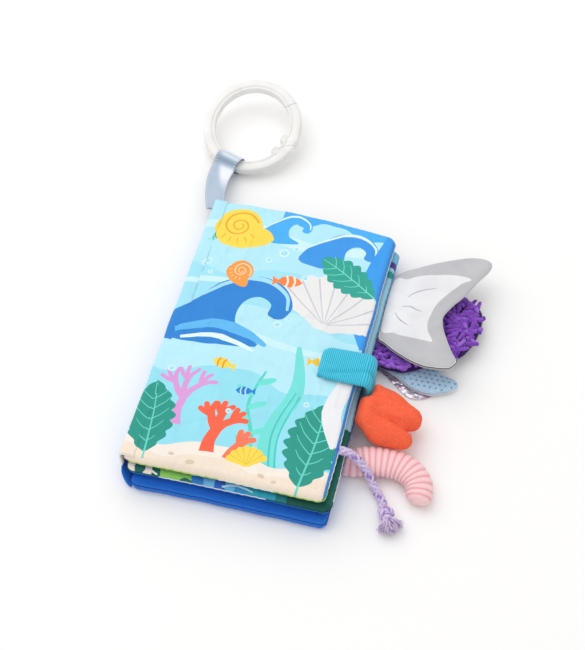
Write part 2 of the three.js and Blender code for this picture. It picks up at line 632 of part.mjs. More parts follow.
// Claw
clawTail.root = foreEdge(middleLeaf, clawTail.front) + touchGap;
clawTail.levelAt = (x) => middleLeaf.mid + clawTail.lift * settled(clawTail, x);
addStuffedTail(clawTail, clawOutlineShares, clawCentreShare,
  { upper: 'claw_upper_shell', fill: 'claw_stuffing', lower: 'claw_lower_shell' },
  { upper: palette.plush, lower: palette.plush });

// Ribbed tail: stations along its curve, with a groove at every second one

ribbedTail.root = foreEdge(backCover, ribbedTail.front) + touchGap;
ribbedTail.level = floorGap + ribbedTail.halfHeight;

const ribbedRoute = new THREE.CatmullRomCurve3(ribbedRouteShares.map(([along, across, width]) => new THREE.Vector3(
  ribbedTail.root + along * ribbedTail.length, ribbedTail.front + across * ribbedTail.reach, width)));
const ribbedStations = Array.from({ length: 2 * ribbedTailRibs + 1 }, (_, index) => {
  const share = index / (2 * ribbedTailRibs);
  const station = ribbedRoute.getPoint(share);
  const along = ribbedRoute.getTangent(share).setZ(0).normalize();
  return {
    place: new THREE.Vector3(station.x, station.y, 0),
    across: new THREE.Vector3(-along.y, along.x, 0),
    widthShare: station.z,
    groove: index % 2 === 0 ? ribbedTail.ribDepth : 0,
  };
});

function ribbedRing({ place, across, widthShare, groove }, depth) {
  const fullness = Math.min((place.x - ribbedTail.root) / (2 * ribbedTail.halfHeight), 1);
  const level = THREE.MathUtils.lerp(backCover.mid, ribbedTail.level, fullness);
  const swell = THREE.MathUtils.lerp(backCover.mid - floorGap, ribbedTail.halfHeight, fullness);
  const inset = Math.max(groove, depth);
  const halfWidth = widthShare * ribbedTail.halfWidth - inset;
  const halfHeight = swell * Math.min(widthShare + ribbedFullShare, 1) - inset;
  return Array.from({ length: ribbedTailSides }, (_, side) => {
    const angle = (2 * Math.PI * side) / ribbedTailSides;
    return place.clone().setZ(level + halfHeight * Math.sin(angle))
      .addScaledVector(across, halfWidth * Math.cos(angle));
  });
}

const shellDepth = ribbedTail.ribDepth + clothThickness;
const fewStations = ribbedStations.filter((_, index) => index % stuffingEvery === 0);
addPiece('ribbed_tail_shell', tubeBody(
  ribbedStations.map((station) => ribbedRing(station, 0)),
  fewStations.slice(0, -1).map((station) => ribbedRing(station, shellDepth)),
), palette.corduroy);
addPiece('ribbed_tail_stuffing', tubeBody(
  fewStations.slice(1, -2).map((station) => ribbedRing(station, shellDepth + layerGap)),
), palette.wadding);

// Braided cord with its knot and frayed end

const cordSection = new THREE.Shape(Array.from({ length: cordSides }, (_, side) => {
  const angle = (2 * Math.PI * side) / cordSides;
  return new THREE.Vector2((cordDiameter / 2) * Math.cos(angle), (cordDiameter / 2) * Math.sin(angle));
}));
const cordPath = new THREE.CatmullRomCurve3(cordRoute.map((point) => new THREE.Vector3(...point)));
addPiece('braided_cord', new THREE.ExtrudeGeometry(cordSection, {
  steps: cordSteps, bevelEnabled: false, extrudePath: cordPath,
}), palette.cord);

const cordEnd = cordPath.getPoint(1);
const cordWay = cordPath.getTangent(1).setZ(0).normalize();
const knotPlace = cordEnd.clone().addScaledVector(cordWay, knot.radius + touchGap).setZ(knot.radius + floorGap);
addPiece('cord_knot', new THREE.SphereGeometry(knot.radius, knot.sides, knot.rings)
  .translate(knotPlace.x, knotPlace.y, knotPlace.z), palette.cord);

const frayedOutline = frayedOutlineShares.map(([radius, along]) => new THREE.Vector2(
  radius * frayedEnd.radius, along * frayedEnd.length));
const frayed = addPiece('cord_frayed_end', new THREE.LatheGeometry(frayedOutline, knot.sides)
  .scale(1, 1, frayedFlatShare), palette.cord);
frayed.rotation.z = Math.atan2(-cordWay.x, cordWay.y);
frayed.position.copy(knotPlace).addScaledVector(cordWay, knot.radius + touchGap);

// The origin moves to the middle of the back cover's underside
book.position.set(-(backCover.left + backCover.right) / 2, -(backCover.front + backCover.head) / 2, 0);

export default book;
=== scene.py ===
import math
import random

import bmesh
import bpy
import numpy as np
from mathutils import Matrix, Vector, geometry


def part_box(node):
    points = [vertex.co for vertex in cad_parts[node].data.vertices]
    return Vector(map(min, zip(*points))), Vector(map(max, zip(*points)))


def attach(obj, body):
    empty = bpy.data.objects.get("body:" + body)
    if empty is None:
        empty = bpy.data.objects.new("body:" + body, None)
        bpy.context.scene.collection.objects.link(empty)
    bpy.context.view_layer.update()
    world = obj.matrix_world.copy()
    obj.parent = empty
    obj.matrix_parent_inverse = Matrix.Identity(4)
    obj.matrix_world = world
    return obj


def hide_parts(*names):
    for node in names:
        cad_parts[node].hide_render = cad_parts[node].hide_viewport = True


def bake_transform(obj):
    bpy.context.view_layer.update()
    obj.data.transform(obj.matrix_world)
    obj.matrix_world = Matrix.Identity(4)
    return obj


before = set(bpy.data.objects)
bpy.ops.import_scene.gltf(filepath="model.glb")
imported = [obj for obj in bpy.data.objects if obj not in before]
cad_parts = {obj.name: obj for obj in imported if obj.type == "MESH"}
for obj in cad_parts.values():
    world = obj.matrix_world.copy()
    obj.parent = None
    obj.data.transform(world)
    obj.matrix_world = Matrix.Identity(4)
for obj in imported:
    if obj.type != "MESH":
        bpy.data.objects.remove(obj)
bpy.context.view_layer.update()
bpy.ops.object.select_all(action="DESELECT")
random.seed(41)

# Lengths in the dictionaries are in mm, from the book's spine and tail corner on the table
mm = 0.001
bookCorner = np.array([-67.0, -97.75, 0.0])


def toMetres(points):
    return (np.asarray(points, float) + bookCorner) * mm


# Camera, at the photograph's angle

photoView = {"azimuth": 14.04, "elevation": 52.38, "distance": 0.9234, "lens": 83.08,
             "target": (0.0084, 0.02145, 0.0237)}


def addCamera():
    turn, lift = math.radians(photoView["azimuth"]), math.radians(photoView["elevation"])
    back = Vector((math.sin(turn) * math.cos(lift), -math.cos(turn) * math.cos(lift), math.sin(lift)))
    place = Vector(photoView["target"]) + back * photoView["distance"]
    bpy.ops.object.camera_add(location=place, rotation=(-back).to_track_quat("-Z", "Y").to_euler())
    camera = bpy.context.object
    camera.name = "photoCamera"
    camera.data.lens = photoView["lens"]
    camera.data.clip_start, camera.data.clip_end = 0.01, 20
    bpy.context.scene.camera = camera


addCamera()
print("camera in place")


# Small helpers for lines and meshes

def ink(code):
    channels = [int(code[i:i + 2], 16) / 255 for i in (1, 3, 5)]
    linear = [c / 12.92 if c <= 0.04045 else ((c + 0.055) / 1.055) ** 2.4 for c in channels]
    return (*linear, 1.0)


def softSteps(points, perSpan=8, closed=False):
    # A smooth curve through the points (Catmull-Rom)
    points = np.asarray(points, float)
    count = len(points)
    fetch = (lambda i: points[i % count]) if closed else (lambda i: points[min(max(i, 0), count - 1)])
    out = []
    for span in range(count if closed else count - 1):
        a, b, c, d = (fetch(span + k) for k in (-1, 0, 1, 2))
        for t in np.arange(perSpan) / perSpan:
            out.append(0.5 * (2 * b + (c - a) * t + (2 * a - 5 * b + 4 * c - d) * t ** 2
                              + (3 * b - a - 3 * c + d) * t ** 3))
    return np.array(out if closed else out + [points[-1]])


def alongOf(line):
    # How far along a line each of its points lies
    return np.concatenate([[0], np.cumsum(np.linalg.norm(np.diff(line, axis=0), axis=1))])


def waysOf(line):
    # The direction of a line at each of its points
    ways = np.gradient(line, axis=0)
    return ways / np.linalg.norm(ways, axis=1)[:, None]


def evenSteps(line, count):
    line = np.asarray(line, float)
    along = alongOf(line)
    targets = np.linspace(0, along[-1], count)
    return np.stack([np.interp(targets, along, values) for values in line.T], axis=1)


def evenLoop(points, step):
    # A closed outline in even steps of about this length
    loop = np.vstack([points, points[:1]])
    return evenSteps(loop, int(alongOf(loop)[-1] / step) + 1)[:-1]


def carriedFrames(line):
    # Two directions square to a line, carried along it without twist
    ways = waysOf(line)
    side = np.cross(ways[0], (0, 0, 1.0))
    if np.linalg.norm(side) < 1e-3:
        side = np.cross(ways[0], (1.0, 0, 0))
    sides = []
    for way in ways:
        side = side - way * (side @ way)
        side = side / np.linalg.norm(side)
        sides.append(side)
    return ways, np.array(sides), np.cross(ways, sides)


def wound(line, angles, reach):
    # A line that winds round another at a reach from it
    _, across, over = carriedFrames(line)
    return line + np.asarray(reach)[..., None] * (np.cos(angles)[:, None] * across + np.sin(angles)[:, None] * over)


def makePiece(name, points, faces, material, inks=None, smooth=True):
    # inks holds the colour of each face
    mesh = bpy.data.meshes.new(name)
    mesh.from_pydata([tuple(p) for p in np.asarray(points, float)], [], faces)
    mesh.validate()
    piece = bpy.data.objects.new(name, mesh)
    bpy.context.scene.collection.objects.link(piece)
    mesh.materials.append(material)
    mesh.polygons.foreach_set("use_smooth", [smooth] * len(mesh.polygons))
    if inks:
        corners = np.repeat(np.asarray(inks, np.float32), [len(p.vertices) for p in mesh.polygons], axis=0)
        mesh.attributes.new("ink", "FLOAT_COLOR", "CORNER").data.foreach_set("color", corners.ravel())
    return piece


def weld(piece, reach=1e-7, outwards=True):
    shape = bmesh.new()
    shape.from_mesh(piece.data)
    bmesh.ops.remove_doubles(shape, verts=shape.verts, dist=reach)
    if outwards:
        bmesh.ops.recalc_face_normals(shape, faces=shape.faces)
    shape.to_mesh(piece.data)
    shape.free()
    return piece


def paintPoints(piece, name, values):
    attribute = piece.data.attributes.new(name, "FLOAT", "POINT")
    attribute.data.foreach_set("value", np.asarray(values, np.float32))


def settle(piece, body, slotName, *nodes, fill=None):
    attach(piece, body)
    if nodes:
        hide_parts(*nodes)
    return piece


def ringFaces(levels, sides, start=0):
    # Faces between closed rings of points that follow each other
    faces = []
    for a in range(start, start + (levels - 1) * sides):
        b = a + 1 if (a + 1 - start) % sides else a + 1 - sides
        faces.append((a, b, b + sides, a + sides))
    return faces


def closedRings(rings, ends, start=0):
    # Points and faces of a body of rings, closed by a point at each end
    levels, sides = rings.shape[:2]
    faces, first = ringFaces(levels, sides, start), start + levels * sides
    for k in range(sides):
        faces.append((start + (k + 1) % sides, start + k, first))
        faces.append((first - sides + k, first - sides + (k + 1) % sides, first + 1))
    return [*rings.reshape(-1, 3), *ends], faces


def manyTubes(name, runs, sides, material, colours=None):
    # Closed tubes along many lines in one piece, each in its own colour
    points, faces, inks = [], [], []
    turn = np.arange(sides)[:, None] * math.tau / sides
    for index, (line, radii) in enumerate(runs):
        line = np.asarray(line, float)
        ways, across, over = carriedFrames(line)
        radii = np.broadcast_to(np.asarray(radii, float), len(line))
        rings = line[:, None] + radii[:, None, None] * (np.cos(turn) * across[:, None] + np.sin(turn) * over[:, None])
        tips = (line[0] - ways[0] * radii[0] * 0.5, line[-1] + ways[-1] * radii[-1] * 0.5)
        more, moreFaces = closedRings(rings, tips, len(points))
        points += more
        faces += moreFaces
        inks += [colours[index]] * len(moreFaces) if colours else []
    return weld(makePiece(name, points, faces, material, inks))


def loftBody(name, rings, material):
    points, faces = closedRings(rings, (rings[0].mean(axis=0), rings[-1].mean(axis=0)))
    return weld(makePiece(name, points, faces, material))


# Materials: one function adds a node with its settings and links, another builds a material of layers

def addNode(tree, kind, inputs=None, **settings):
    node = tree.nodes.new(kind)
    for name, value in settings.items():
        setattr(node, name, value)
    for socket, value in (inputs or {}).items():
        if isinstance(value, bpy.types.NodeSocket):
            tree.links.new(value, node.inputs[socket])
        else:
            node.inputs[socket].default_value = value
    return node


def tinted(code, share=1.0):
    return (*[share * c for c in ink(code)[:3]], 1.0)


# Each pattern's node, its output, and the scale at which it repeats once in a metre
patternKinds = {"noise": ("ShaderNodeTexNoise", "Fac", 1), "wave": ("ShaderNodeTexWave", "Fac", math.tau / 20),
                "cracks": ("ShaderNodeTexVoronoi", "Distance", 1)}
whole = (1, 1, 1, 1)


def addPattern(tree, where, kind, size, stretch=(1, 1, 1), turn=0, feature=None, direction=None, **inputs):
    # A grey pattern that repeats in this size in mm
    if kind == "ribs":
        run = addNode(tree, "ShaderNodeAttribute", attribute_name="run").outputs["Fac"]
        turns = addNode(tree, "ShaderNodeMath", {0: run, 1: math.tau / size}, operation="MULTIPLY").outputs[0]
        wave = addNode(tree, "ShaderNodeMath", {0: turns}, operation="SINE").outputs[0]
        return addNode(tree, "ShaderNodeMath", {0: wave, 1: 0.5, 2: 0.5}, operation="MULTIPLY_ADD").outputs[0]
    node, output, once = patternKinds[kind]
    settings = {"feature": feature} if feature else {"bands_direction": direction} if direction else {}
    place = addNode(tree, "ShaderNodeMapping", {"Vector": where, "Scale": stretch,
                                                "Rotation": (0, 0, math.radians(turn))}).outputs["Vector"]
    return addNode(tree, node, {"Vector": place, "Scale": once / (size * mm), **inputs}, **settings).outputs[output]


def addMaterial(name, sockets, patterns=None, layers=(), bumps=()):
    # layers: (pattern or attribute, share, colour stops or None), multiplied in, or mixed in where the
    # share is below 0; bumps: (pattern, strength, height in m), the first one lowest
    material = bpy.data.materials.new(name)
    material.use_nodes = True
    tree = material.node_tree
    shader = tree.nodes["Principled BSDF"]
    for socket, value in sockets.items():
        shader.inputs[socket].default_value = value
    where = addNode(tree, "ShaderNodeTexCoord").outputs["Object"]
    greys = {key: addPattern(tree, where, *what[:2], **(what[2] if len(what) > 2 else {}))
             for key, what in (patterns or {}).items()}
    colour = normal = None
    for key, share, stops in layers:
        if key not in greys:
            shared = addNode(tree, "ShaderNodeAttribute", attribute_name=key)
            greys[key] = shared.outputs["Fac" if stops else "Color"]
        made = greys[key]
        if stops:
            ramp = addNode(tree, "ShaderNodeValToRGB", {"Fac": made})
            elements = ramp.color_ramp.elements
            while len(elements) < len(stops):
                elements.new(0.5)
            for element, (place, shade) in zip(elements, stops):
                element.position, element.color = place, shade
            made = ramp.outputs["Color"]
        if colour:
            made = addNode(tree, "ShaderNodeMix", {0: abs(share), 6: colour, 7: made}, data_type="RGBA",
                           blend_type="MULTIPLY" if share > 0 else "MIX").outputs[2]
        colour = made
    if colour:
        tree.links.new(colour, shader.inputs["Base Color"])
    for key, strength, height in bumps:
        inputs = {"Height": greys[key], "Strength": strength, "Distance": height}
        if normal:
            inputs["Normal"] = normal
        normal = addNode(tree, "ShaderNodeBump", inputs).outputs["Normal"]
    if normal:
        tree.links.new(normal, shader.inputs["Normal"])
    return material


def fibres(roughness, specular, sheen, sheenRoughness=0.35, **more):
    return {"Roughness": roughness, "Specular IOR Level": specular, "Sheen Weight": sheen,
            "Sheen Roughness": sheenRoughness, **more}


def shortPile(name, base, dark, light, size, sheen, bump=0.7):
    # Velvety pile: painted broken highlights on the tufts, painted shade between them, a bright sheen at grazing angles
    return addMaterial(
        name, fibres(0.95, 0.1, sheen, **{"Sheen Tint": ink(light)}),
        {"tufts": ("noise", size, {"Detail": 4, "Roughness": 0.65}),
         "brushed": ("noise", 7, {"Detail": 3, "stretch": (1, 2.6, 1)})},
        [("tufts", 1, [(0.30, ink(dark)), (0.52, ink(base)), (0.74, ink(light))]),
         ("brushed", 0.6, [(0.34, (0.86, 0.86, 0.86, 1)), (0.66, whole)])],
        [("tufts", bump, 0.0006)])


def satinWeave(name, base, dark, tones=None):
    # Satin: long floats give a silky anisotropic sheen, with a fine cross rib
    layers = [("clouds", 1, [(0.3, ink(dark)), (0.7, ink(base))])]
    # Given tones, a ramp from painted shade to painted highlight, read from the piece's tone attribute, is mixed over
    # the colour
    if tones:
        layers.append(("tone", -0.85, [(k / (len(tones) - 1), ink(c)) for k, c in enumerate(tones)]))
    return addMaterial(name, fibres(0.34, 0.5, 0.25, 0.3, Anisotropic=0.6),
                       {"floats": ("wave", 0.5, {"turn": 8, "direction": "Y"}), "clouds": ("noise", 9, {"Detail": 2})},
                       layers, [("floats", 0.15, 0.00008)])


def yarnMaterial(name, roughness, sheen, pitch, strength):
    # Spun yarn: colour from the piece, with the plies' twist in the bump
    return addMaterial(name, fibres(roughness, 0.15, sheen, 0.4),
                       {"fluff": ("noise", pitch, {"Detail": 3, "Roughness": 0.7})},
                       [("ink", 1, None), ("fluff", 0.65, [(0.32, (0.62, 0.62, 0.66, 1)), (0.62, whole)])],
                       [("fluff", strength, 0.0004)])


def plainThread(name, code):
    # Polyester sewing thread: two plies, a slight gloss
    return addMaterial(name, fibres(0.55, 0.35, 0.2, 0.5), {"twist": ("wave", 0.6, {"turn": 30})},
                       [("twist", 1, [(0.0, tinted(code, 0.82)), (0.6, ink(code))])], [("twist", 0.3, 0.0001)])


def loopedNylon(name, code):
    # Brushed nylon: dense short loops
    return addMaterial(name, fibres(0.9, 0.15, 0.3, 0.5), {"loops": ("noise", 0.45, {"Detail": 3, "Roughness": 0.7})},
                       [("loops", 1, [(0.3, tinted(code, 0.7)), (0.6, ink(code))])], [("loops", 0.9, 0.0003)])


# Polyester twill, heat printed: fine slanted ribs, drawn at 1.3 mm so that they show, their grooves darkened in colour
# as painted shade, with a soft sheen
twill = addMaterial(
    "printedTwill", fibres(0.78, 0.25, 0.12, 0.45),
    {"folds": ("noise", 24, {"Detail": 2, "stretch": (1.5, 0.8, 1)}), "ribs": ("wave", 1.3, {"turn": 38}),
     "threads": ("noise", 0.7, {"Detail": 2}), "cloudy": ("noise", 26, {"Detail": 2})},
    [("ink", 1, None), ("ribs", 0.6, [(0.0, (0.80, 0.83, 0.86, 1)), (0.75, whole)]),
     ("cloudy", 0.7, [(0.3, (0.94, 0.95, 0.97, 1)), (0.7, whole)])],
    [("folds", 0.8, 0.0022), ("ribs", 0.28, 0.00025), ("threads", 0.22, 0.0002)])
# Smooth printed knit of the big tail: almost no weave, soft clouds of shade in the grey
flukeCloth = addMaterial(
    "smoothPrint", fibres(0.72, 0.22, 0.15, 0.5),
    {"clouds": ("noise", 14, {"Detail": 4}), "folds": ("noise", 17, {"Detail": 1.5}),
     "knit": ("wave", 0.55, {"turn": 70})},
    [("ink", 1, None), ("clouds", 0.6, [(0.32, (0.84, 0.84, 0.86, 1)), (0.66, whole)])],
    [("folds", 0.9, 0.0035), ("knit", 0.12, 0.0001)])
# Plush knitted in 1.15 mm ribs: pale turquoise on the ribs as a painted highlight, deeper between them as painted shade
strapPile = addMaterial(
    "ribbedPlush", fibres(0.92, 0.12, 0.45, **{"Sheen Tint": ink("#D8F6FC")}),
    {"rib": ("ribs", 1.15), "tufts": ("noise", 0.7, {"Detail": 3, "Roughness": 0.6}),
     "broad": ("noise", 9, {"Detail": 2})},
    [("rib", 1, [(0.0, ink("#27A9CB")), (0.5, ink("#3DBEDB")), (1.0, ink("#66D6EC"))]),
     ("tufts", 0.75, [(0.3, (0.86, 0.88, 0.9, 1)), (0.62, whole)]),
     ("broad", 0.7, [(0.35, (0.9, 0.93, 0.95, 1)), (0.65, whole)])],
    [("rib", 0.6, 0.0002), ("tufts", 0.4, 0.0004)])
# Wide wale corduroy: pale pink pile on the wales as a painted highlight, deeper pink in the grooves as painted shade
corduroy = addMaterial(
    "corduroy", fibres(0.92, 0.12, 0.45, **{"Sheen Tint": ink("#FFEDEC")}),
    {"tufts": ("noise", 0.8, {"Detail": 4, "Roughness": 0.65})},
    [("wale", 1, [(0.0, ink("#F4A9B0")), (0.5, ink("#F9BEC2")), (0.9, ink("#FED6D8"))]),
     ("tufts", 0.7, [(0.3, (0.84, 0.80, 0.82, 1)), (0.66, whole)])],
    [("tufts", 0.6, 0.0005)])
# Injection moulded polypropylene: ivory white, semi gloss, slight flow marks
ivoryPlastic = addMaterial(
    "ringPlastic", {"Roughness": 0.4, "IOR": 1.49, "Subsurface Weight": 0.05,
                    "Subsurface Radius": (0.004, 0.003, 0.002), "Subsurface Scale": 0.5},
    {"flow": ("noise", 18, {"Detail": 3}), "fine": ("noise", 1.6, {"Detail": 2})},
    [("flow", 1, [(0.3, ink("#E4E2DE")), (0.7, ink("#EEEDEA"))])], [("fine", 0.05, 0.0002)])
# Metallised film on cloth: silver pink, with sharp crinkles that catch the light
foil = addMaterial(
    "foilCloth", {"Metallic": 0.85, "Roughness": 0.26},
    {"tint": ("noise", 5, {"Detail": 3}), "crinkles": ("cracks", 3.5, {"feature": "DISTANCE_TO_EDGE"})},
    [("tint", 1, [(0.35, ink("#C9A9C0")), (0.6, ink("#E9E2EA"))])], [("crinkles", 0.7, 0.0006)])
clawPile = shortPile("clawPlush", "#FF6A48", "#F45A38", "#FF8460", 0.7, 0.45, 0.5)
dottedPile = shortPile("dottedPlush", "#B9D8EF", "#9CC2E0", "#D2E7F6", 0.8, 0.4)
dottedDark = shortPile("dottedPlushDots", "#7FA6CB", "#6790B8", "#9DBEDC", 0.8, 0.35)
# The ribbon's tones run from painted shade through grey to a painted highlight
satinRibbonPaintedShade = satinWeave("satinRibbonPaintedShade", "#CBD6E6", "#AEBFD3", ["#74889F", "#AFBFD2", "#F4F6FA"])
satinLining = satinWeave("satinLining", "#F1F3F6", "#D8DCE4")
chenilleYarn = yarnMaterial("chenilleYarn", 0.92, 0.55, 0.7, 0.9)
braidYarn = yarnMaterial("braidYarn", 0.85, 0.35, 0.5, 0.5)
pipingYarn = yarnMaterial("pipingYarn", 0.7, 0.2, 0.4, 0.35)
whiteThread = plainThread("whiteThread", "#F4F6F4")
darkThread = plainThread("darkThread", "#4A4650")
padNylon = loopedNylon("padNylon", "#DCE6EC")
tabPlush = loopedNylon("tabPlush", "#3FC0DC")
print("materials made")


# Braided cord, from the front cover's fore edge, with its knot and frayed end

cordForm = {
    "diameter": 5, "strands": 4, "pitch": 15, "helix": 1.62, "weave": 0.28, "strand": 0.92, "steps": 150,
    "route": [
        [123.6, 38.9, 21.0], [126.4, 39.0, 20.7], [129.3, 38.9, 19.8], [132.2, 38.5, 18.1], [135.0, 37.9, 15.9],
        [137.8, 37.0, 13.5], [140.4, 35.4, 11.2], [142.6, 33.6, 8.9], [144.6, 31.9, 6.5], [146.8, 29.9, 4.5],
        [149.2, 27.3, 3.2], [151.6, 24.2, 2.9], [153.6, 20.8, 2.9], [155.2, 17.4, 3.0],
    ],
    "inks": ["#E8D8F2", "#D6C0EA", "#DFCBEE", "#A88CCB"],
}
knotForm = {"radius": 4.6, "tube": 2.4, "rope": 0.95, "steps": 130, "turns": 9, "spread": 1.15}
frayForm = {"length": 9.6, "spread": 6.6, "yarns": 230, "thick": 0.3, "rings": 12, "start": 3.2, "low": 0.7,
            "high": 8.4, "inks": ["#EBDCF2", "#F2E6F7", "#DEC8EA", "#C3A6DA"]}


def middleOf(node):
    low, high = (np.array(corner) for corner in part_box(node))
    return (low + high) / 2


def addCord():
    line = evenSteps(softSteps(cordForm["route"], 10), cordForm["steps"])
    along, strands, runs = alongOf(line), cordForm["strands"], []
    for hand in (1, -1):
        for strand in range(strands):
            angles = math.tau * (strand / strands + hand * along / cordForm["pitch"])
            weave = hand * cordForm["weave"] * np.cos(2 * strands * math.pi * along / cordForm["pitch"])
            runs.append((toMetres(wound(line, angles, cordForm["helix"] + weave)), cordForm["strand"] * mm))
    inks = [ink(cordForm["inks"][i]) for i in (0, 1, 2, 1, 0, 2, 3, 2)]
    braid = manyTubes("braidedCord", runs, 7, braidYarn, inks)
    return settle(braid, "front_cover", "cord_braid", "braided_cord"), toMetres(line)


def addKnot():
    t = np.linspace(0, math.tau, knotForm["steps"], endpoint=False)
    loop = np.stack([np.sin(t) + 2 * np.sin(2 * t), np.cos(t) - 2 * np.cos(2 * t), -np.sin(3 * t) * 1.2], axis=1)
    loop *= (knotForm["radius"] - knotForm["tube"] * 0.55) / 3
    loop = np.vstack([loop, loop[:2]])
    runs = []
    for strand in range(4):
        angles = math.tau * (strand / 4 + np.arange(len(loop)) * knotForm["turns"] / len(loop))
        run = wound(loop, angles, knotForm["spread"])
        runs.append((run * mm + middleOf("cord_knot"), knotForm["rope"] * mm))
    knot = manyTubes("cordKnot", runs, 7, braidYarn, [ink(code) for code in cordForm["inks"]])
    return settle(knot, "front_cover", "cord_braid", "cord_knot")


def addFrayedEnd():
    root = middleOf("cord_knot") / mm
    way = middleOf("cord_frayed_end") / mm - root
    way[2] = 0
    way /= np.linalg.norm(way)
    side = np.cross(way, (0, 0, 1.0))
    s = np.linspace(0, 1, frayForm["rings"])
    column = s[:, None]
    runs, inks = [], []
    for index in range(frayForm["yarns"]):
        fan, rise = random.uniform(-1.15, 1.15), random.uniform(-0.8, 0.9)
        reach = frayForm["length"] * random.uniform(0.72, 1.08)
        curl = random.uniform(0.3, 1.1)
        forward = frayForm["start"] + reach * column * math.cos(fan * 0.8)
        forward = forward + curl * np.cos(8 * column + 2 * index) * column
        sideways = fan * frayForm["spread"] * (0.25 + 0.75 * column) + curl * np.sin(7 * column + index) * column
        line = root + way * forward + side * sideways
        line[:, 2] += rise * (1.2 + 3.2 * s * (1 - 0.35 * s)) + curl * np.sin(6 * s + 3 * index)
        line[:, 2] = np.clip(line[:, 2], frayForm["low"], frayForm["high"])
        runs.append((line * mm, frayForm["thick"] * np.linspace(1.1, 0.55, len(s)) * mm))
        inks.append(ink(random.choice(frayForm["inks"])))
    fray = manyTubes("cordFrayedEnd", runs, 5, braidYarn, inks)
    return settle(fray, "front_cover", "cord_braid", "cord_frayed_end")


cordPiece, cordPath = addCord()
cordLength = float(alongOf(cordPath)[-1])
knotPiece = addKnot()
frayPiece = addFrayedEnd()
tuple(cordPath[0])
[tuple(p) for p in cordPath]
print("cord, knot and frayed end made, cord length", round(cordLength / mm, 1), "mm")


# Printed motifs: each gives outlines with their ink, in mm on a flat page, later ones on top

def oval(x, y, wide, tall, turn=0.0, count=30):
    t = np.linspace(0, math.tau, count, endpoint=False)
    c, s = math.cos(math.radians(turn)), math.sin(math.radians(turn))
    u, v = wide * np.cos(t), tall * np.sin(t)
    return np.stack([x + u * c - v * s, y + u * s + v * c], axis=1)


def placed(points, x, y, turn=0.0, size=1.0):
    c, s = math.cos(math.radians(turn)), math.sin(math.radians(turn))
    points = np.asarray(points, float) * size
    return np.stack([x + points[:, 0] * c - points[:, 1] * s, y + points[:, 0] * s + points[:, 1] * c], axis=1)


def stripe(line, widths, perSpan=6):
    # A band along a curve, as wide as the widths say, with a round far end
    smooth = softSteps(line, perSpan)
    way = waysOf(smooth)
    square = np.stack([-way[:, 1], way[:, 0]], axis=1)
    wide = np.interp(np.linspace(0, 1, len(smooth)), np.linspace(0, 1, len(widths)), widths) / 2
    tip = [smooth[-1] + wide[-1] * (math.sin(a) * square[-1] + math.cos(a) * way[-1])
           for a in np.radians(np.linspace(90, -90, 7)[1:-1])]
    return np.vstack([smooth + square * wide[:, None], tip, (smooth - square * wide[:, None])[::-1]])


def band(line, widths, colour):
    return [(stripe(line, widths), colour)]


def block(left, low, right, high, colour):
    return [(np.array([[left, low], [right, low], [right, high], [left, high]]), colour)]


def bubbles(spots, rim, fill):
    out = []
    for x, y, r in spots:
        out += [(oval(x, y, r, r), rim), (oval(x, y, r * 0.72, r * 0.72), fill),
                (oval(x - r * 0.3, y + r * 0.3, r * 0.18, r * 0.12, 40, 10), rim)]
    return out


def scallop(x, y, size, turn, body, ribs, ribCount=9):
    t = np.radians(np.linspace(-72, 72, 60))
    reach = 1 + 0.035 * np.cos(np.linspace(-72, 72, 60) / 144 * ribCount * math.tau)
    fan = np.stack([np.sin(t) * reach, np.cos(t) * reach], axis=1)
    outline = np.vstack([[[-0.13, -0.02], [-0.26, 0.06]], fan, [[0.26, 0.06], [0.13, -0.02]]])
    out = [(placed(outline, x, y, turn, size), body)]
    for k in range(ribCount - 1):
        a = math.radians(-72 + 144 * (k + 1) / ribCount)
        line = placed([[0.05 * math.sin(a), 0.1], [0.5 * math.sin(a), 0.5 * math.cos(a) + 0.02],
                       [0.93 * math.sin(a), 0.93 * math.cos(a)]], x, y, turn, size)
        out += band(line, [size * 0.012, size * 0.03], ribs)
    return out


def whorl(x, y, size, turn, body, line):
    t = np.linspace(0, 2.1 * math.tau, 40)
    curl = np.stack([np.cos(t), np.sin(t)], axis=1) * (0.84 * np.exp(-0.13 * t))[:, None]
    mouth = placed([[-0.95, -0.1], [-0.9, -0.8], [-0.2, -1.25], [0.7, -1.3], [1.35, -1.05], [1.3, -0.6], [0.9, -0.2],
                    [0.2, 0.2]], x, y, turn, size)
    out = [(softSteps(mouth, 4, True), body), (oval(x, y, size, size * 0.94, turn), body),
           (stripe(placed(curl, x, y, turn, size), [size * 0.09, size * 0.05], 3), line)]
    for k in range(5):
        a = math.radians(-150 + 24 * k)
        rib = placed([[0.72 * math.cos(a), 0.72 * math.sin(a)], [0.95 * math.cos(a), 0.98 * math.sin(a) - 0.05]],
                     x, y, turn, size)
        out += band(rib, [size * 0.05, size * 0.03], line)
    return out


def branching(x, y, angle, length, width, levels, colour, spread=34):
    a = math.radians(angle)
    end = (x + length * math.cos(a), y + length * math.sin(a))
    bend = (x + 0.5 * length * math.cos(a + 0.16), y + 0.5 * length * math.sin(a + 0.16))
    out = band([(x, y), bend, end], [width, width * 0.8, width * 0.72], colour)
    if levels > 0:
        for way in (-1, 0.1, 1):
            out += branching(*end, angle + way * spread, length * 0.7, width * 0.72, levels - 1, colour, spread)
    return out


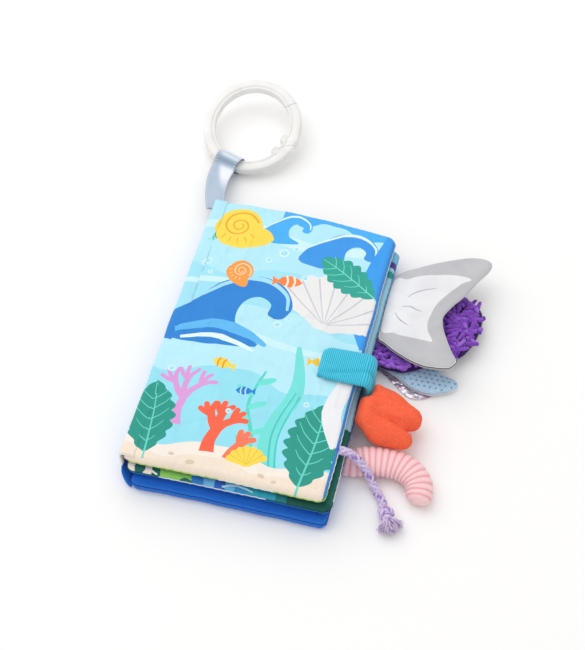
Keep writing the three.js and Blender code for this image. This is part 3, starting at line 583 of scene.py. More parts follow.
def frond(x, y, length, turn, body, vein, lobes=7):
    # A broad leaf with rounded lobes, a midrib and side veins
    t = np.linspace(0, 1, 15 * lobes // 2)
    half = length * 0.27 * np.sin(math.pi * np.clip(t * 1.04, 0, 1)) ** 0.7
    half = half * (0.80 + 0.24 * np.abs(np.sin(t * math.pi * lobes)))
    right = np.stack([half, t * length], axis=1)
    left = np.stack([-half, t * length], axis=1)
    out = [(placed(np.vstack([right, left[::-1]]), x, y, turn), body)]
    middle = placed([[0, -0.08], [0.02, 0.5], [0, 0.94]], x, y, turn, length)
    out += band(middle, [length * 0.022, length * 0.008], vein)
    for k in range(1, lobes - 1):
        for way in (-1, 1):
            y0 = length * (k / lobes)
            reach = length * 0.19 * math.sin(math.pi * k / lobes)
            line = [[0, y0], [way * reach * 0.6, y0 + reach * 0.45], [way * reach, y0 + reach * 0.95]]
            out += band(placed(line, x, y, turn), [length * 0.013, length * 0.006], vein)
    return out


def kelp(x, y, length, turn, body, leaf, sway=0.12):
    stem = placed([[0, 0], [sway, 0.3], [-sway, 0.65], [sway * 0.6, 1]], x, y, turn, length)
    out = band(stem, [length * 0.05, length * 0.02], body)
    spots = evenSteps(softSteps(stem, 6), 9)
    for k in range(1, 8):
        way = 1 if k % 2 else -1
        out.append((oval(spots[k][0] + way * length * 0.07, spots[k][1] + length * 0.03, length * 0.085,
                         length * 0.032, turn + way * 28 + (180 if way < 0 else 0), 18), leaf))
    return out


def smallFish(x, y, length, turn, body, stripes):
    nose = placed([[0.5, 0], [0.36, 0.15], [0.1, 0.24], [-0.18, 0.17], [-0.33, 0.05], [-0.52, 0.2], [-0.5, 0],
                   [-0.52, -0.2], [-0.33, -0.05], [-0.18, -0.17], [0.1, -0.24], [0.36, -0.15]], x, y, turn, length)
    out = [(nose, body)]
    for place, tall in ((0.2, 0.2), (-0.04, 0.215)):
        line = placed([[place, -tall], [place + 0.05, 0], [place, tall]], x, y, turn, length)
        out += band(line, [length * 0.07, length * 0.07], stripes)
    return out


def swell(left, right, level, rise, length, phase, low, colour, count=60):
    x = np.linspace(left, right, count)
    y = level + rise * np.sin(math.tau * (x - left) / length + phase) + rise * 0.3 * np.sin(
        math.tau * 2.3 * (x - left) / length + phase * 2)
    return [(np.vstack([np.stack([x, y], axis=1), [[right, low], [left, low]]]), colour)]


def breaker(x, y, size, turn, body, foam):
    # A curling wave crest: a comma with a foam line inside its curl
    comma = placed([[-1.2, -0.3], [-0.8, 0.15], [-0.3, 0.62], [0.3, 0.8], [0.8, 0.62], [1.02, 0.2], [0.86, -0.1],
                    [0.6, -0.06], [0.62, 0.18], [0.4, 0.32], [0.16, 0.22], [0.02, -0.08], [0.1, -0.45],
                    [0.5, -0.8], [-1.2, -0.8]], x, y, turn, size)
    line = placed([[-1.15, -0.18], [-0.62, 0.3], [-0.05, 0.68], [0.45, 0.72], [0.86, 0.45], [0.93, 0.12]],
                  x, y, turn, size)
    return [(softSteps(comma, 4, True), body), (stripe(line, [size * 0.03, size * 0.11, size * 0.05]), foam)]


def pebbles(spots, colour):
    return [(oval(x, y, r, r * 0.62, turn, 16), colour) for x, y, r, turn in spots]


# The cover's print: waves at the head, shells, coral, kelp and sand, on pale cyan
coverRows = [
    (swell, -40, 170, 150, 5, 90, 0.4, -30, "#A6E6F6"), (swell, -40, 170, 118, 6, 110, 2.2, -30, "#BDEEF8"),
    (swell, -40, 170, 70, 5, 80, 1.0, -30, "#9BE4F3"),
    (band, [(-30, 178), (20, 186), (70, 176), (130, 190)], [5, 9, 6], "#D3F5FB"),
    (band, [(-30, 132), (30, 138), (80, 128), (150, 138)], [3, 6, 4], "#D3F5FB"),
    (band, [(-30, 96), (25, 104), (85, 96), (150, 106)], [3, 5, 3], "#D0F4FA"),
    (swell, 46, 170, 196, 3.5, 44, 2.9, 226, "#4DB2F5"),
    (breaker, 92, 180, 21, 0, "#3F9BEA", "#E4F8FD"), (breaker, 52, 188, 15, 6, "#4DB2F5", "#E4F8FD"),
    (band, [(122, 110), (112, 140), (118, 176), (126, 214)], [9, 14, 17, 14], "#3FA0F0"),
    (scallop, 92, 116, 42, -8, "#EFEDEB", "#CFCFD6", 9),
    (frond, 118, 150, 46, 62, "#36A896", "#7FE3D2"), (frond, 6, 172, 34, -62, "#36A896", "#7FE3D2"),
    (whorl, 20, 184, 15, 20, "#FCDD54", "#F0AE3C"),
    (breaker, 36, 118, 34, 4, "#3388D8", "#A9E3F6"),
    (band, [(4, 96), (26, 104), (46, 101), (60, 95)], [4, 8, 3], "#64BDF3"),
    (band, [(8, 90), (26, 95), (42, 93), (54, 89)], [2, 4, 2], "#E8FAFD"),
    (branching, 24, 28, 92, 19, 6.5, 2, "#E0A0DC", 36),
    (kelp, 68, 6, 70, 3, "#5FD9CB", "#74E6D8", 0.05),
    (band, [(86, 0), (80, 34), (88, 68), (82, 98)], [13, 11, 9, 3], "#79E4DC"),
    (band, [(86, 6), (81, 36), (88, 66)], [1.2, 1, 0.8], "#4CC9C4"),
    (band, [(90, 4), (85, 34), (91, 64)], [1.0, 0.9, 0.6], "#4CC9C4"),
    (swell, -20, 150, 17, 3.5, 75, 1.7, -30, "#FBEFE2"), (swell, -20, 150, 9, 3, 60, 0.2, -30, "#F8E6D2"),
    (branching, 47, 14, 84, 16, 9, 2, "#FF6A4C", 38), (branching, 60, 12, 66, 12, 7, 1, "#FF7E5E", 34),
    (frond, 12, 6, 52, 8, "#2F9C8B", "#6EDCCB"), (frond, 104, 4, 62, -4, "#2F9C8B", "#6EDCCB", 8),
    (scallop, 72, 10, 13, 12, "#FCDD54", "#F0AE3C", 7),
    (whorl, 31, 148, 8, -30, "#FFA24A", "#FCE9C8"),
    (smallFish, 62, 146, 19, 8, "#FF8A4A", "#FFF1E0"), (smallFish, 40, 76, 15, 170, "#FCDD54", "#F59A3A"),
    (smallFish, 97, 92, 16, 12, "#FCC93E", "#FFF6D8"), (smallFish, 58, 60, 12, 186, "#2F86D6", "#BFEAF8"),
    (band, [(121, 36), (112, 58), (117, 84), (121, 104)], [10, 12, 10, 5], "#F2F1F2"),
    (bubbles, [(54, 168, 3.2), (61, 173, 1.8), (46, 160, 2.0), (72, 152, 2.2), (8, 152, 2.4), (12, 143, 1.5),
               (64, 112, 2.4), (70, 118, 1.4), (10, 66, 2.2), (14, 73, 1.4), (96, 60, 1.8), (52, 44, 1.8)],
     "#E9FBFE", "#A9E6F5"),
    (pebbles, [(40, 5, 2.6, 10), (82, 6, 2.2, -12), (90, 4, 1.6, 20), (28, 8, 1.8, 0)], "#E2CDB0"),
    (block, 119.7, -5, 125, 215, "#3F8FDC"),  # the band along the fore edge
]
coverArt = [shape for motif, *values in coverRows for shape in motif(*values)]


def pagePrint(seed, tones, extra):
    # A calmer inside page: bands of water, sand, weed, coral and a few small fish
    draw = random.Random(seed)
    art = []
    for k, tone in enumerate(tones["water"]):
        art += swell(-30, 160, 165 - 38 * k, 5, draw.uniform(70, 110), draw.uniform(0, 6), -30, tone)
    for k in range(5):
        y = draw.uniform(40, 190)
        art += band([(-20, y), (40, y + 8), (90, y - 4), (150, y + 6)], [1.5, 4, 2], tones["streak"])
    art += swell(-30, 160, 24, 4, 80, draw.uniform(0, 6), -30, tones["sand"])
    art += frond(16, 8, 66, 6, tones["weed"], tones["vein"])
    art += frond(106, 6, 54, -8, tones["weed"], tones["vein"])
    art += kelp(84, 10, 96, 3, tones["weed"], tones["vein"])
    art += branching(42, 12, 88, 20, 9, 2, tones["coral"], 36)
    art += scallop(66, 14, 15, -10, tones["shell"], tones["streak"], 7)
    art += whorl(92, 152, 13, 18, tones["shell"], tones["coral"])
    for x, y in ((26, 96), (58, 112), (28, 132), (62, 148), (30, 166), (66, 182)):
        art += smallFish(x + draw.uniform(-8, 8), y + draw.uniform(-3, 3), draw.uniform(12, 20),
                         draw.choice([8, 172, -6]), draw.choice(tones["fish"]), tones["streak"])
    art += bubbles([(draw.uniform(8, 112), draw.uniform(60, 192), draw.uniform(1.3, 3.4)) for _ in range(14)],
                   tones["streak"], tones["water"][0])
    return art + extra


def border(wide, tail, colour, foreColour=None):
    # A plain border round a page: fore edge, spine edge, tail edge and head edge
    return (block(122.5 - wide, -9, 134, 215, foreColour or colour) + block(-9, -9, 6, 215, colour)
            + block(-9, -9, 134, tail, colour) + block(-9, 200 - wide, 134, 215, colour))


# Leaves: a padded body of two printed faces that meet at the seam

leafForm = {"half": 3.6, "rim": 3.6, "crown": 0.5, "drawIn": 0.8, "grid": 1.9, "edgeStep": 1.3,
            "rings": [0, 0.1, 0.35, 0.75, 1.3, 2.0, 2.8, 3.8, 5.2], "low": 0.05, "slopeStep": 0.12,
            "pucker": 0.26, "puckerPitch": 5.2, "puckerFade": 4.5, "flatRim": 14, "creasePitch": 34,
            "softLift": 0.22, "softPitch": 24, "wander": 0.22, "wanderPitch": 30, "wanderFade": 6, "scallop": 0.12}
leaves = {
    "front": {"left": 2.4, "right": 123.6, "front": 2, "head": 206.2, "skew": 4.5, "bulge": 4.5, "mid": 21.0,
              "seed": 3, "crease": 0.5, "seamUp": -0.4, "belly": 0.0, "corner": 5},
    "middle": {"left": 4.8, "right": 127, "front": 0.5, "head": 202.5, "skew": 3, "bulge": 3, "mid": 12.3,
               "seed": 8, "crease": 0.3, "seamUp": 0.3, "belly": 0.5, "corner": 5},
    "back": {"left": 8, "right": 126, "front": -4, "head": 199.5, "skew": 2, "bulge": 2.5, "mid": 3.6,
             "seed": 13, "crease": 0.45, "seamUp": 2.1, "belly": 1.7, "corner": 4.5},
}


def leafHalves(leaf):
    return (leaf["right"] - leaf["left"]) / 2, (leaf["head"] - leaf["front"]) / 2


def ripples(x, y, seed, length, count=7, stretch=1.0):
    # A sum of slanted waves, the same each run
    draw = random.Random(seed)
    total = np.zeros_like(x)
    for _ in range(count):
        angle, phase = draw.uniform(0, math.pi), draw.uniform(0, math.tau)
        size = length * draw.uniform(0.6, 1.6)
        total += np.sin(math.tau * (x * math.cos(angle) + y * stretch * math.sin(angle)) / size + phase)
    return total / math.sqrt(count)


def creases(x, y, seed, length):
    # Soft ridges with flat ground between them, as crackly film gives
    warp = ripples(x, y, seed + 5, length * 1.7)
    a = np.sin(math.tau * (x * 0.8 + y * 0.35) / length + 1.6 * warp)
    b = np.sin(math.tau * (x * 0.3 - y * 0.75) / (length * 1.3) + 1.3 * warp + seed)
    return (1 - np.abs(a)) ** 3 - (1 - np.abs(b)) ** 3 * 0.8


def seamDistance(x, y, halfX, halfY, radius):
    overX, overY = np.abs(x) - (halfX - radius), np.abs(y) - (halfY - radius)
    outside = np.hypot(np.maximum(overX, 0), np.maximum(overY, 0))
    return radius - outside - np.minimum(np.maximum(overX, overY), 0)


def leafSurface(leaf, x, y, side):
    form, (halfX, halfY) = leafForm, leafHalves(leaf)
    inside = np.maximum(seamDistance(x, y, halfX, halfY, leaf["corner"]), 0)
    share = np.clip(inside / form["rim"], 0, 1)
    lift = form["half"] * np.sqrt(1 - (1 - share) ** 2)
    swellUp = form["crown"] * np.cos(math.pi * x / 2 / halfX) * np.cos(math.pi * y / 2 / halfY)
    fromEdge = 0.25 + 0.75 * np.clip(inside / form["flatRim"], 0, 1)
    fold = leaf["crease"] * creases(x, y, leaf["seed"] + (side > 0) * 2, form["creasePitch"]) * fromEdge * share
    soft = form["softLift"] * ripples(x, y, leaf["seed"] + 20, form["softPitch"]) * share
    nearX = (halfX - np.abs(x)) < (halfY - np.abs(y))
    along = math.tau * np.where(nearX, y, x) / form["puckerPitch"]
    puckers = form["pucker"] * np.sin(along + ripples(x, y, leaf["seed"], 40))
    puckers = puckers * np.exp(-inside / form["puckerFade"]) * share ** 0.5
    # The leaf's outline: drawn-in sides, and a head edge that bows out and stands higher at the spine
    rise = leaf["bulge"] * (1 - (x / halfX) ** 2) - leaf["skew"] * x / halfX / 2
    outX = (leaf["left"] + leaf["right"]) / 2 + x * (1 - form["drawIn"] / halfX * (1 - (y / halfY) ** 2))
    outY = (leaf["front"] + leaf["head"]) / 2 + y * (1 - form["drawIn"] / halfY * (1 - (x / halfX) ** 2))
    outY = outY + (y / halfY + 1) / 2 * rise
    # The seam wanders a little, and the lower face bellies out over it
    wander = form["wander"] * ripples(x, y, leaf["seed"] + 31, form["wanderPitch"])
    seam = (1 - share) ** 2
    bulge = (leaf["belly"] * (side < 0) * np.sin(math.pi * share) * (1 - 0.5 * share)
             + wander * np.exp(-inside / form["wanderFade"]) - form["scallop"] * seam * (1 + np.sin(along)))
    outX = outX + np.where(nearX, bulge, 0) * np.sign(x)
    outY = outY + np.where(nearX, 0, bulge) * np.sign(y)
    outZ = leaf["mid"] + side * (lift + swellUp * share + fold + soft + puckers)
    outZ = outZ + (wander * 0.8 + leaf["seamUp"]) * seam
    return np.stack([outX, outY, np.maximum(outZ, form["low"])], axis=-1)


def roundedLoop(halfX, halfY, radius, inset, step):
    radius = max(radius - inset, 0.6)
    halfX, halfY = halfX - inset, halfY - inset
    loop = []
    for cornerX, cornerY, startAngle in ((1, -1, -90), (1, 1, 0), (-1, 1, 90), (-1, -1, 180)):
        arc = max(int(radius * math.pi / 2 / step), 4)
        for a in np.radians(startAngle + 90 * np.arange(arc + 1) / arc):
            loop.append((cornerX * (halfX - radius) + radius * math.cos(a),
                         cornerY * (halfY - radius) + radius * math.sin(a)))
    return evenLoop(np.array(loop), step)


def insideOf(outline, points):
    # Inside is where a line to the right of a point crosses the outline an odd number of times
    ends = np.roll(outline, -1, axis=0)
    way = ends - outline
    slope = np.where(np.abs(way[:, 1]) < 1e-12, 1e-12, way[:, 1])
    crosses = (outline[None, :, 1] > points[:, 1:]) != (ends[None, :, 1] > points[:, 1:])
    where = outline[None, :, 0] + (points[:, 1:] - outline[None, :, 1]) * (way[:, 0] / slope)[None]
    return ((crosses & (points[:, :1] < where)).sum(axis=1) % 2) == 1


def finerSteps(loop, longest=2.5):
    # A closed loop with no side longer than this, so that long print edges follow the puffed cloth
    out = []
    for a, b in zip(loop, np.roll(loop, -1, axis=0)):
        count = max(int(np.ceil(np.linalg.norm(b - a) / longest)), 1)
        out += [a + (b - a) * k / count for k in range(count)]
    return out


def cutPage(border, inner, art, offset=(0, 0)):
    # Triangles of a page whose edges follow the print: (points, triangles, ink code of each or None)
    art = [(np.asarray(outline, float) + offset, code) for outline, code in art]
    low, high = border.min(axis=0) - 1, border.max(axis=0) + 1
    points, loops = [], []
    for outline in [border] + [finerSteps(np.clip(outline, low, high)) for outline, _ in art]:
        loops.append(list(range(len(points), len(points) + len(outline))))
        points += [Vector(p) for p in outline]
    points += [Vector(p) for p in inner]
    flat, _, triangles, _, _, _ = geometry.delaunay_2d_cdt(points, [], loops, 0, 1e-5, False)
    flat, triangles = np.array([tuple(p) for p in flat]), np.array([tuple(t) for t in triangles])
    middles = flat[triangles].mean(axis=1)
    # The top-most outline over a triangle gives its ink
    tops = np.full(len(middles), -1)
    for index, (outline, _) in enumerate(art):
        near = ((middles > outline.min(axis=0)) & (middles < outline.max(axis=0))).all(axis=1).nonzero()[0]
        tops[near[insideOf(outline, middles[near])]] = index
    kept = insideOf(border, middles)
    used, triangles = np.unique(triangles[kept], return_inverse=True)
    return (flat[used], [tuple(t) for t in triangles.reshape(-1, 3).tolist()],
            [art[top][1] if top >= 0 else None for top in tops[kept]])


def facing(flat, triangles, side=1):
    # Triangles turned counter-clockwise, or clockwise for side -1
    areas = [np.cross(flat[b] - flat[a], flat[c] - flat[a]) for a, b, c in triangles]
    return [t if (area > 0) == (side > 0) else t[::-1] for t, area in zip(triangles, areas)]


def leafFace(leaf, art):
    halves, step = leafHalves(leaf), leafForm["grid"]
    rings = [roundedLoop(*halves, leaf["corner"], inset, leafForm["edgeStep"]) for inset in leafForm["rings"]]
    reaches = [half - leafForm["rings"][-1] - 1 for half in halves]
    columns, rows = (np.linspace(-reach, reach, int(2 * reach / step) + 1) for reach in reaches)
    inner = [(x, y) for x in columns for y in rows] + [p for ring in rings[1:] for p in ring]
    return cutPage(rings[0], inner, art, [-half for half in halves])


def addLeaf(name, leaf, upperPrint, lowerPrint, body, slotName, *nodes):
    # Each print is its art and the ink of the bare cloth
    points, faces, inks, normals = [], [], [], []
    step = leafForm["slopeStep"]
    for side, (art, base) in ((1, upperPrint), (-1, lowerPrint)):
        flat, triangles, codes = leafFace(leaf, art)
        x, y = flat.T
        alongX = leafSurface(leaf, x + step, y, side) - leafSurface(leaf, x - step, y, side)
        alongY = leafSurface(leaf, x, y + step, side) - leafSurface(leaf, x, y - step, side)
        normal = np.cross(alongX, alongY) * side
        normal /= np.linalg.norm(normal, axis=1)[:, None]
        turned = facing(flat, triangles, side)
        faces += [tuple(len(points) + i for i in t) for t in turned]
        normals += [normal[i] for t in turned for i in t]
        inks += [ink(code or base) for code in codes]
        points += list(leafSurface(leaf, x, y, side))
    piece = makePiece(name, toMetres(points), faces, twill, inks)
    piece.data.normals_split_custom_set([tuple(n) for n in normals])
    settle(piece, body, slotName, *nodes, fill=0.45)
    print(name, "triangles", len(faces))


royal = "#2070D2"
insideTones = {"water": ["#3F8FDC", "#2F7DD0", "#2870C4", "#1F62B8"], "streak": "#8FD4F4", "sand": "#F3DFC6",
               "weed": "#1F7F70", "vein": "#58CDB8", "coral": "#FF7A58", "shell": "#FCDD54",
               "fish": ["#FF8A4A", "#FCDD54", "#E0A0DC"]}
greenTones = {"water": ["#1F6B5E", "#1B6457", "#226F60", "#195A50"], "streak": "#2F8A78", "sand": "#2A7766",
              "weed": "#124A42", "vein": "#8FD060", "coral": "#E0A0DC", "shell": "#FBEFE2",
              "fish": ["#FCDD54", "#FF8A4A", "#8FD060"]}
# The middle leaf's print runs out in blocks of colour along its tail edge
tailBlocks = [(-9, 6, "#FBEFE2"), (6, 12, "#1F6B5E"), (12, 16, "#FBEFE2"), (16, 21, "#1F6B5E"), (21, 40, "#8FD060"),
              (40, 47, "#2E7BC8"), (47, 54, "#6FB6E6"), (54, 60, "#2E66C0"), (60, 66, "#63B4E2"), (66, 74, "#2F8FC4"),
              (74, 90, "#2FA3B8"), (90, 97, "#1F7C84"), (97, 126, "#17584C")]
tailInks = border(9, 3, "#1B6457", "#A5D6EC")
tailInks += [([[108, -9], [134, -9], [134, 58], [108, 56]], "#1B6457"),
             ([[96, 191], [134, 190], [134, 215], [96, 215]], "#7FC4E4"),
             ([[116, 186], [134, 186], [134, 190], [116, 191]], "#5B3E8E"),
             ([[116, 178], [134, 177], [134, 183], [116, 183]], "#2F9C9C")]
tailInks += [([[a + 0.5, -9], [b + 0.5, -9], [b - 0.8, 4.6 + 0.6 * (k % 3)], [a - 0.8, 4.6 + 0.6 * (k % 2)]], code)
             for k, (a, b, code) in enumerate(tailBlocks)]
tailInks += band([(10, -1), (14, 1.4), (19, 0.4)], [1.0, 1.4, 0.6], "#FBEFE2")
tailInks += band([(30, -2), (36, 0.4), (43, -1.2)], [1.2, 1.6, 0.6], "#1F6B5E")
tailInks += band([(58, 0.8), (66, 2.6), (76, 1.2)], [0.8, 1.2, 0.6], "#BFE3F5")
addLeaf("frontCoverLeaf", leaves["front"], (coverArt, "#B8ECF8"), ([], "#1B3E8C"), "front_cover", "cover_cloth",
        "front_cover_outer_cloth", "front_cover_crinkle_film", "front_cover_wadding", "front_cover_inner_cloth")
addLeaf("middleLeafPage", leaves["middle"], (pagePrint(5, greenTones, tailInks), "#1F6B5E"),
        (pagePrint(9, insideTones, border(9, 9, royal)), royal), "middle_leaf", "page_cloth",
        "middle_leaf_upper_cloth", "middle_leaf_crinkle_film", "middle_leaf_wadding", "middle_leaf_lower_cloth")
addLeaf("backCoverLeaf", leaves["back"], (pagePrint(12, insideTones, border(9, 9, royal)), royal),
        (pagePrint(21, insideTones, border(12, 12, royal)), royal), "back_cover", "blue_cloth",
        "back_cover_inner_cloth", "back_cover_crinkle_film", "back_cover_wadding", "back_cover_outer_cloth")
print("leaves made")


# Spine cloth: an upper and a lower half, seamed together, round the leaves' spine edges

spineForm = {"front": 3, "head": 207.45, "step": 4, "middle": 12.55, "bulge": 5.5, "reach": 12.85, "roundness": 0.6,
             "thick": 0.9, "upper": (90, 180.4), "lower": (181.6, 242), "hug": 0.62, "belly": 2.6, "margin": 0.2,
             "lap": 5.5, "columns": 16, "rows": 110, "gatherPitch": 7.5, "cornerDrop": 6.4,
             "hinge": -0.065}  # the leaves' turning line, in metres


def spinePoint(angle, offset):
    a = np.radians(angle)
    z = spineForm["middle"] + spineForm["reach"] * np.sin(a)
    front, back = leaves["front"], leaves["back"]
    lean = back["left"] + (front["left"] - back["left"]) * (z - back["mid"]) / (front["mid"] - back["mid"])
    x = lean + leafForm["half"] - spineForm["bulge"] * np.abs(np.cos(a)) ** spineForm["roundness"]
    x = x - spineForm["belly"] * np.exp(-((angle - 200) / 28) ** 2)
    return x - offset * np.abs(np.cos(a)), z + offset * np.sin(a)


def clothBody(name, outer, inner, material):
    # A closed cloth between two grids of points of the same layout
    rows, columns = outer.shape[:2]
    shift = rows * columns
    index = np.arange(shift).reshape(rows, columns)
    faces = []
    for a in index[:-1, :-1].ravel().tolist():
        quad = (a, a + 1, a + columns + 1, a + columns)
        faces += [quad, tuple(shift + i for i in reversed(quad))]
    rim = [*index[0], *index[1:, -1], *index[-1, -2::-1], *index[-2:0:-1, 0]]
    faces += [(b, a, shift + a, shift + b) for a, b in zip(rim, rim[1:] + rim[:1])]
    faces = [tuple(int(i) for i in face) for face in faces]
    return weld(makePiece(name, np.vstack([outer.reshape(-1, 3), inner.reshape(-1, 3)]), faces, material))


def sheetBody(name, triangles, outer, inner, material, inks=None, smooth=True):
    # A closed cloth between two layers of the same triangles
    count = len(outer)
    faces, edges = [], set()
    for t in triangles:
        faces += [tuple(t), tuple(count + i for i in t[::-1])]
        edges.update((t[i], t[(i + 1) % 3]) for i in range(3))
    rim = sorted((b, a, count + a, count + b) for a, b in edges if (b, a) not in edges)
    paint = [c for c in inks for _ in (0, 1)] + [inks[0]] * len(rim) if inks else None
    return weld(makePiece(name, np.vstack([outer, inner]), faces + rim, material, paint, smooth))


def addSpineHalf(name, half, head, art, base, blendHeights, node):
    # The cloth's flat layout: u runs round the spine from its upper edge, y along it
    angles = np.linspace(*spineForm[half], 200)
    x, z = spinePoint(angles, -0.1)
    if half == "upper":
        # The upper edge runs on over the cover, down on to its face
        z = z - spineForm["hug"] * np.clip(1 - (angles - angles[0]) / 40, 0, 1) ** 2
        x = np.concatenate([x[0] + np.linspace(spineForm["lap"], 0.25, 14), x])
        z = np.concatenate([z[0] - 0.12 * np.linspace(1, 0, 14), z])
    path = np.stack([x, z], axis=1)
    arc, ways = alongOf(path), waysOf(path)
    columns, rows = spineForm["columns"], spineForm["rows"]
    width, low, high = arc[-1], spineForm["front"] + spineForm["margin"], head - spineForm["margin"]
    corners = np.array([(0, low), (width, low), (width, high), (0, high), (0, low)])
    edge = np.vstack([np.linspace(a, b, count, endpoint=False)
                      for a, b, count in zip(corners, corners[1:], (columns, rows, columns, rows))])
    inner = [(a, b) for a in np.linspace(0, width, columns + 1)[1:-1] for b in np.linspace(low, high, rows + 2)[1:-1]]
    shift = (x[0] - leaves["front"]["left"], leaves["front"]["front"])
    flat, triangles, codes = cutPage(edge, inner, [(np.asarray(outline) * (-1, 1), c) for outline, c in art], shift)
    u, y = flat.T
    gather = 0.3 * np.sin(math.tau * y / spineForm["gatherPitch"] + ripples(y, u, 17, 40))
    gather = gather * np.exp(-1.2 * np.clip((width - u) / 2.5, 0, 9))
    soft = (gather + 0.3 * ripples(y, u * 0.3, 23, 26)) * np.clip(u / 6, 0, 1) * 0.8
    thick = spineForm["thick"] / 2 * np.clip(u / 5 + 0.12, 0, 1)
    # The lower half's tail end runs down to the back cover's corner
    drop = spineForm["cornerDrop"] if half == "lower" else 0
    placedY = y - drop * np.sin(np.clip(u / width, 0, 1) * math.pi / 2) ** 1.5 * np.exp(-(y - low) / 12)
    middleX, middleZ, wayX, wayZ = (np.interp(u, arc, values) for values in (*path.T, *ways.T))
    outer, inside = (toMetres(np.stack([middleX + wayZ * away, placedY, middleZ - wayX * away], axis=-1))
                     for away in (soft + thick, soft - thick))
    piece = sheetBody(name, facing(flat, triangles), outer, inside, twill, [ink(c or base) for c in codes])
    start, end = ((spineForm["hinge"], 0, z) for z in blendHeights)
    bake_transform(piece)
    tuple(start)
    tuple(end)
    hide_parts(node)


addSpineHalf("spineClothUpper", "upper", spineForm["head"], coverArt, "#B8ECF8",
             (0.0125, 0.0225), "spine_panel_upper")
addSpineHalf("spineClothLower", "lower", spineForm["head"] - spineForm["step"], [], royal,
             (0.0098, 0.0121), "spine_panel_lower")
print("spine made")


# Closing strap: a plush sleeve with two lengthwise swellings and fine cross ribs

strapForm = {"left": 98.8, "right": 132.31, "front": 82, "back": 106, "bottom": 2, "top": 28.6, "bend": 6,
             "thick": 3.2, "across": 34, "station": 0.6, "endRadius": 6.5}


def strapPath():
    half, bend = strapForm["thick"] / 2, strapForm["bend"]
    right, top = strapForm["right"], strapForm["top"]
    arc = [(right - bend + (bend - half) * math.sin(a), top - bend + (bend - half) * math.cos(a))
           for a in np.radians(np.arange(0, 91, 6))]
    return np.array([(strapForm["left"] + 0.1, top - half), *arc, (right - half, strapForm["bottom"] + 0.1)])


def strapRings():
    path = strapPath()
    total = alongOf(path)[-1]
    path = evenSteps(path, int(total / strapForm["station"]))
    along, way = np.linspace(0, total, len(path)), waysOf(path)
    normal = np.stack([-way[:, 1], way[:, 0]], axis=1)
    middleY, halfY = (strapForm["front"] + strapForm["back"]) / 2, (strapForm["back"] - strapForm["front"]) / 2
    half, radius = strapForm["thick"] / 2, strapForm["endRadius"]
    shares = np.cos(math.pi * (np.arange(strapForm["across"]) + 0.5) / strapForm["across"])
    plump = np.sqrt(1 - np.abs(shares) ** 5)
    rings = []
    for s, (x, z), (outX, outZ) in zip(along, path, normal):
        fromEnd = min(s, total - s)
        pull = radius - math.sqrt(max(radius ** 2 - max(radius - fromEnd, 0) ** 2, 0))
        wide = halfY - pull - 0.25 - 0.2 * math.sin(s / 5)
        deep = half * math.sqrt(max(1 - max(1 - fromEnd / 1.9, 0) ** 2, 0.01))
        # The groove between the two swellings starts low at the sewn end and rises to the middle
        groove = -0.78 + 0.6 * min(max((s - 3) / 26, 0), 1)
        fullness = min(max((s - 1) / 9, 0.15), 1)
        puff = 0.9 * min(max((38 - s) / 8, 0.25), 1) * deep / half
        outer = (deep + puff) * plump * (1 - 0.62 * fullness * np.exp(-((shares - groove) / 0.12) ** 2))
        outer = outer + 0.12 * np.sin(s / 3.1 + 2.3 * shares) * plump
        depths, across = np.concatenate([outer, -deep * plump[::-1]]), np.concatenate([shares, shares[::-1]])
        rings.append(np.column_stack([x + outX * depths, middleY + across * wide, z + outZ * depths]))
    return np.array(rings), along


strapShape, strapRun = strapRings()
strapPiece = loftBody("closingStrap", toMetres(strapShape), strapPile)
# The run along the strap places the ribs: their bump, and their painted highlight and painted shade
paintPoints(strapPiece, "run", [*np.repeat(strapRun, strapShape.shape[1]), 0, strapRun[-1]])
settle(strapPiece, "strap", "strap_plush", "strap_outer_ply", "strap_inner_ply", "strap_elastic_band", fill=0.5)


def roundedPad(name, node, body, slotName, material, share=1.0, inset=0.0, fill=None):
    # A woven pad with rounded rims; share is how much of its box's depth it takes, from the outer side
    low, high = (np.array(corner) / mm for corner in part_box(node))
    low, high = low + (0, inset, 0), high - (0, inset, 0)
    low[0] = high[0] - (high[0] - low[0]) * share
    bpy.ops.object.select_all(action="DESELECT")
    bpy.ops.mesh.primitive_cube_add(size=1, location=(0, 0, 0))
    pad = bpy.context.object
    pad.name = name
    for vertex in pad.data.vertices:
        vertex.co = Vector(((low + high) / 2 + np.array(vertex.co) * (high - low)) * mm)
    bevel = pad.modifiers.new("rounding", "BEVEL")
    bevel.width, bevel.segments = min(high - low) * 0.32 * mm, 3
    bpy.ops.object.modifier_apply(modifier="rounding")
    pad.data.materials.append(material)
    bpy.ops.object.shade_smooth()
    settle(pad, body, slotName, node, fill=fill)
    return low, high


def addHooks(low, high):
    # Hooks in rows on the pad's inner face
    runs = []
    for y in np.linspace(low[1] + 0.9, high[1] - 0.9, 22):
        for z in np.linspace(low[2] + 0.6, high[2] - 0.6, 5):
            foot = np.array([low[0] + 0.05, y, z])
            line = foot + np.array([[0, 0, 0], [-0.3, 0, 0], [-0.5, 0, 0.1], [-0.52, 0, 0.32], [-0.34, 0, 0.4]])
            runs.append((line * mm, 0.09 * mm))
    settle(manyTubes("padHooks", runs, 5, padNylon), "strap", "hook_and_loop")


roundedPad("loopPad", "strap_loop_pad", "back_cover", "hook_and_loop", padNylon, fill=0.9)
hookBox = roundedPad("hookPad", "strap_hook_pad", "strap", "hook_and_loop", padNylon, share=0.55, fill=0.9)
roundedPad("strapTab", "strap_sewn_tab", "front_cover", "strap_plush", tabPlush, inset=1.9)
addHooks(*hookBox)
print("strap made")


# Ribbon loop: two plies from the spine's head end, joined by a round fold that holds the ring

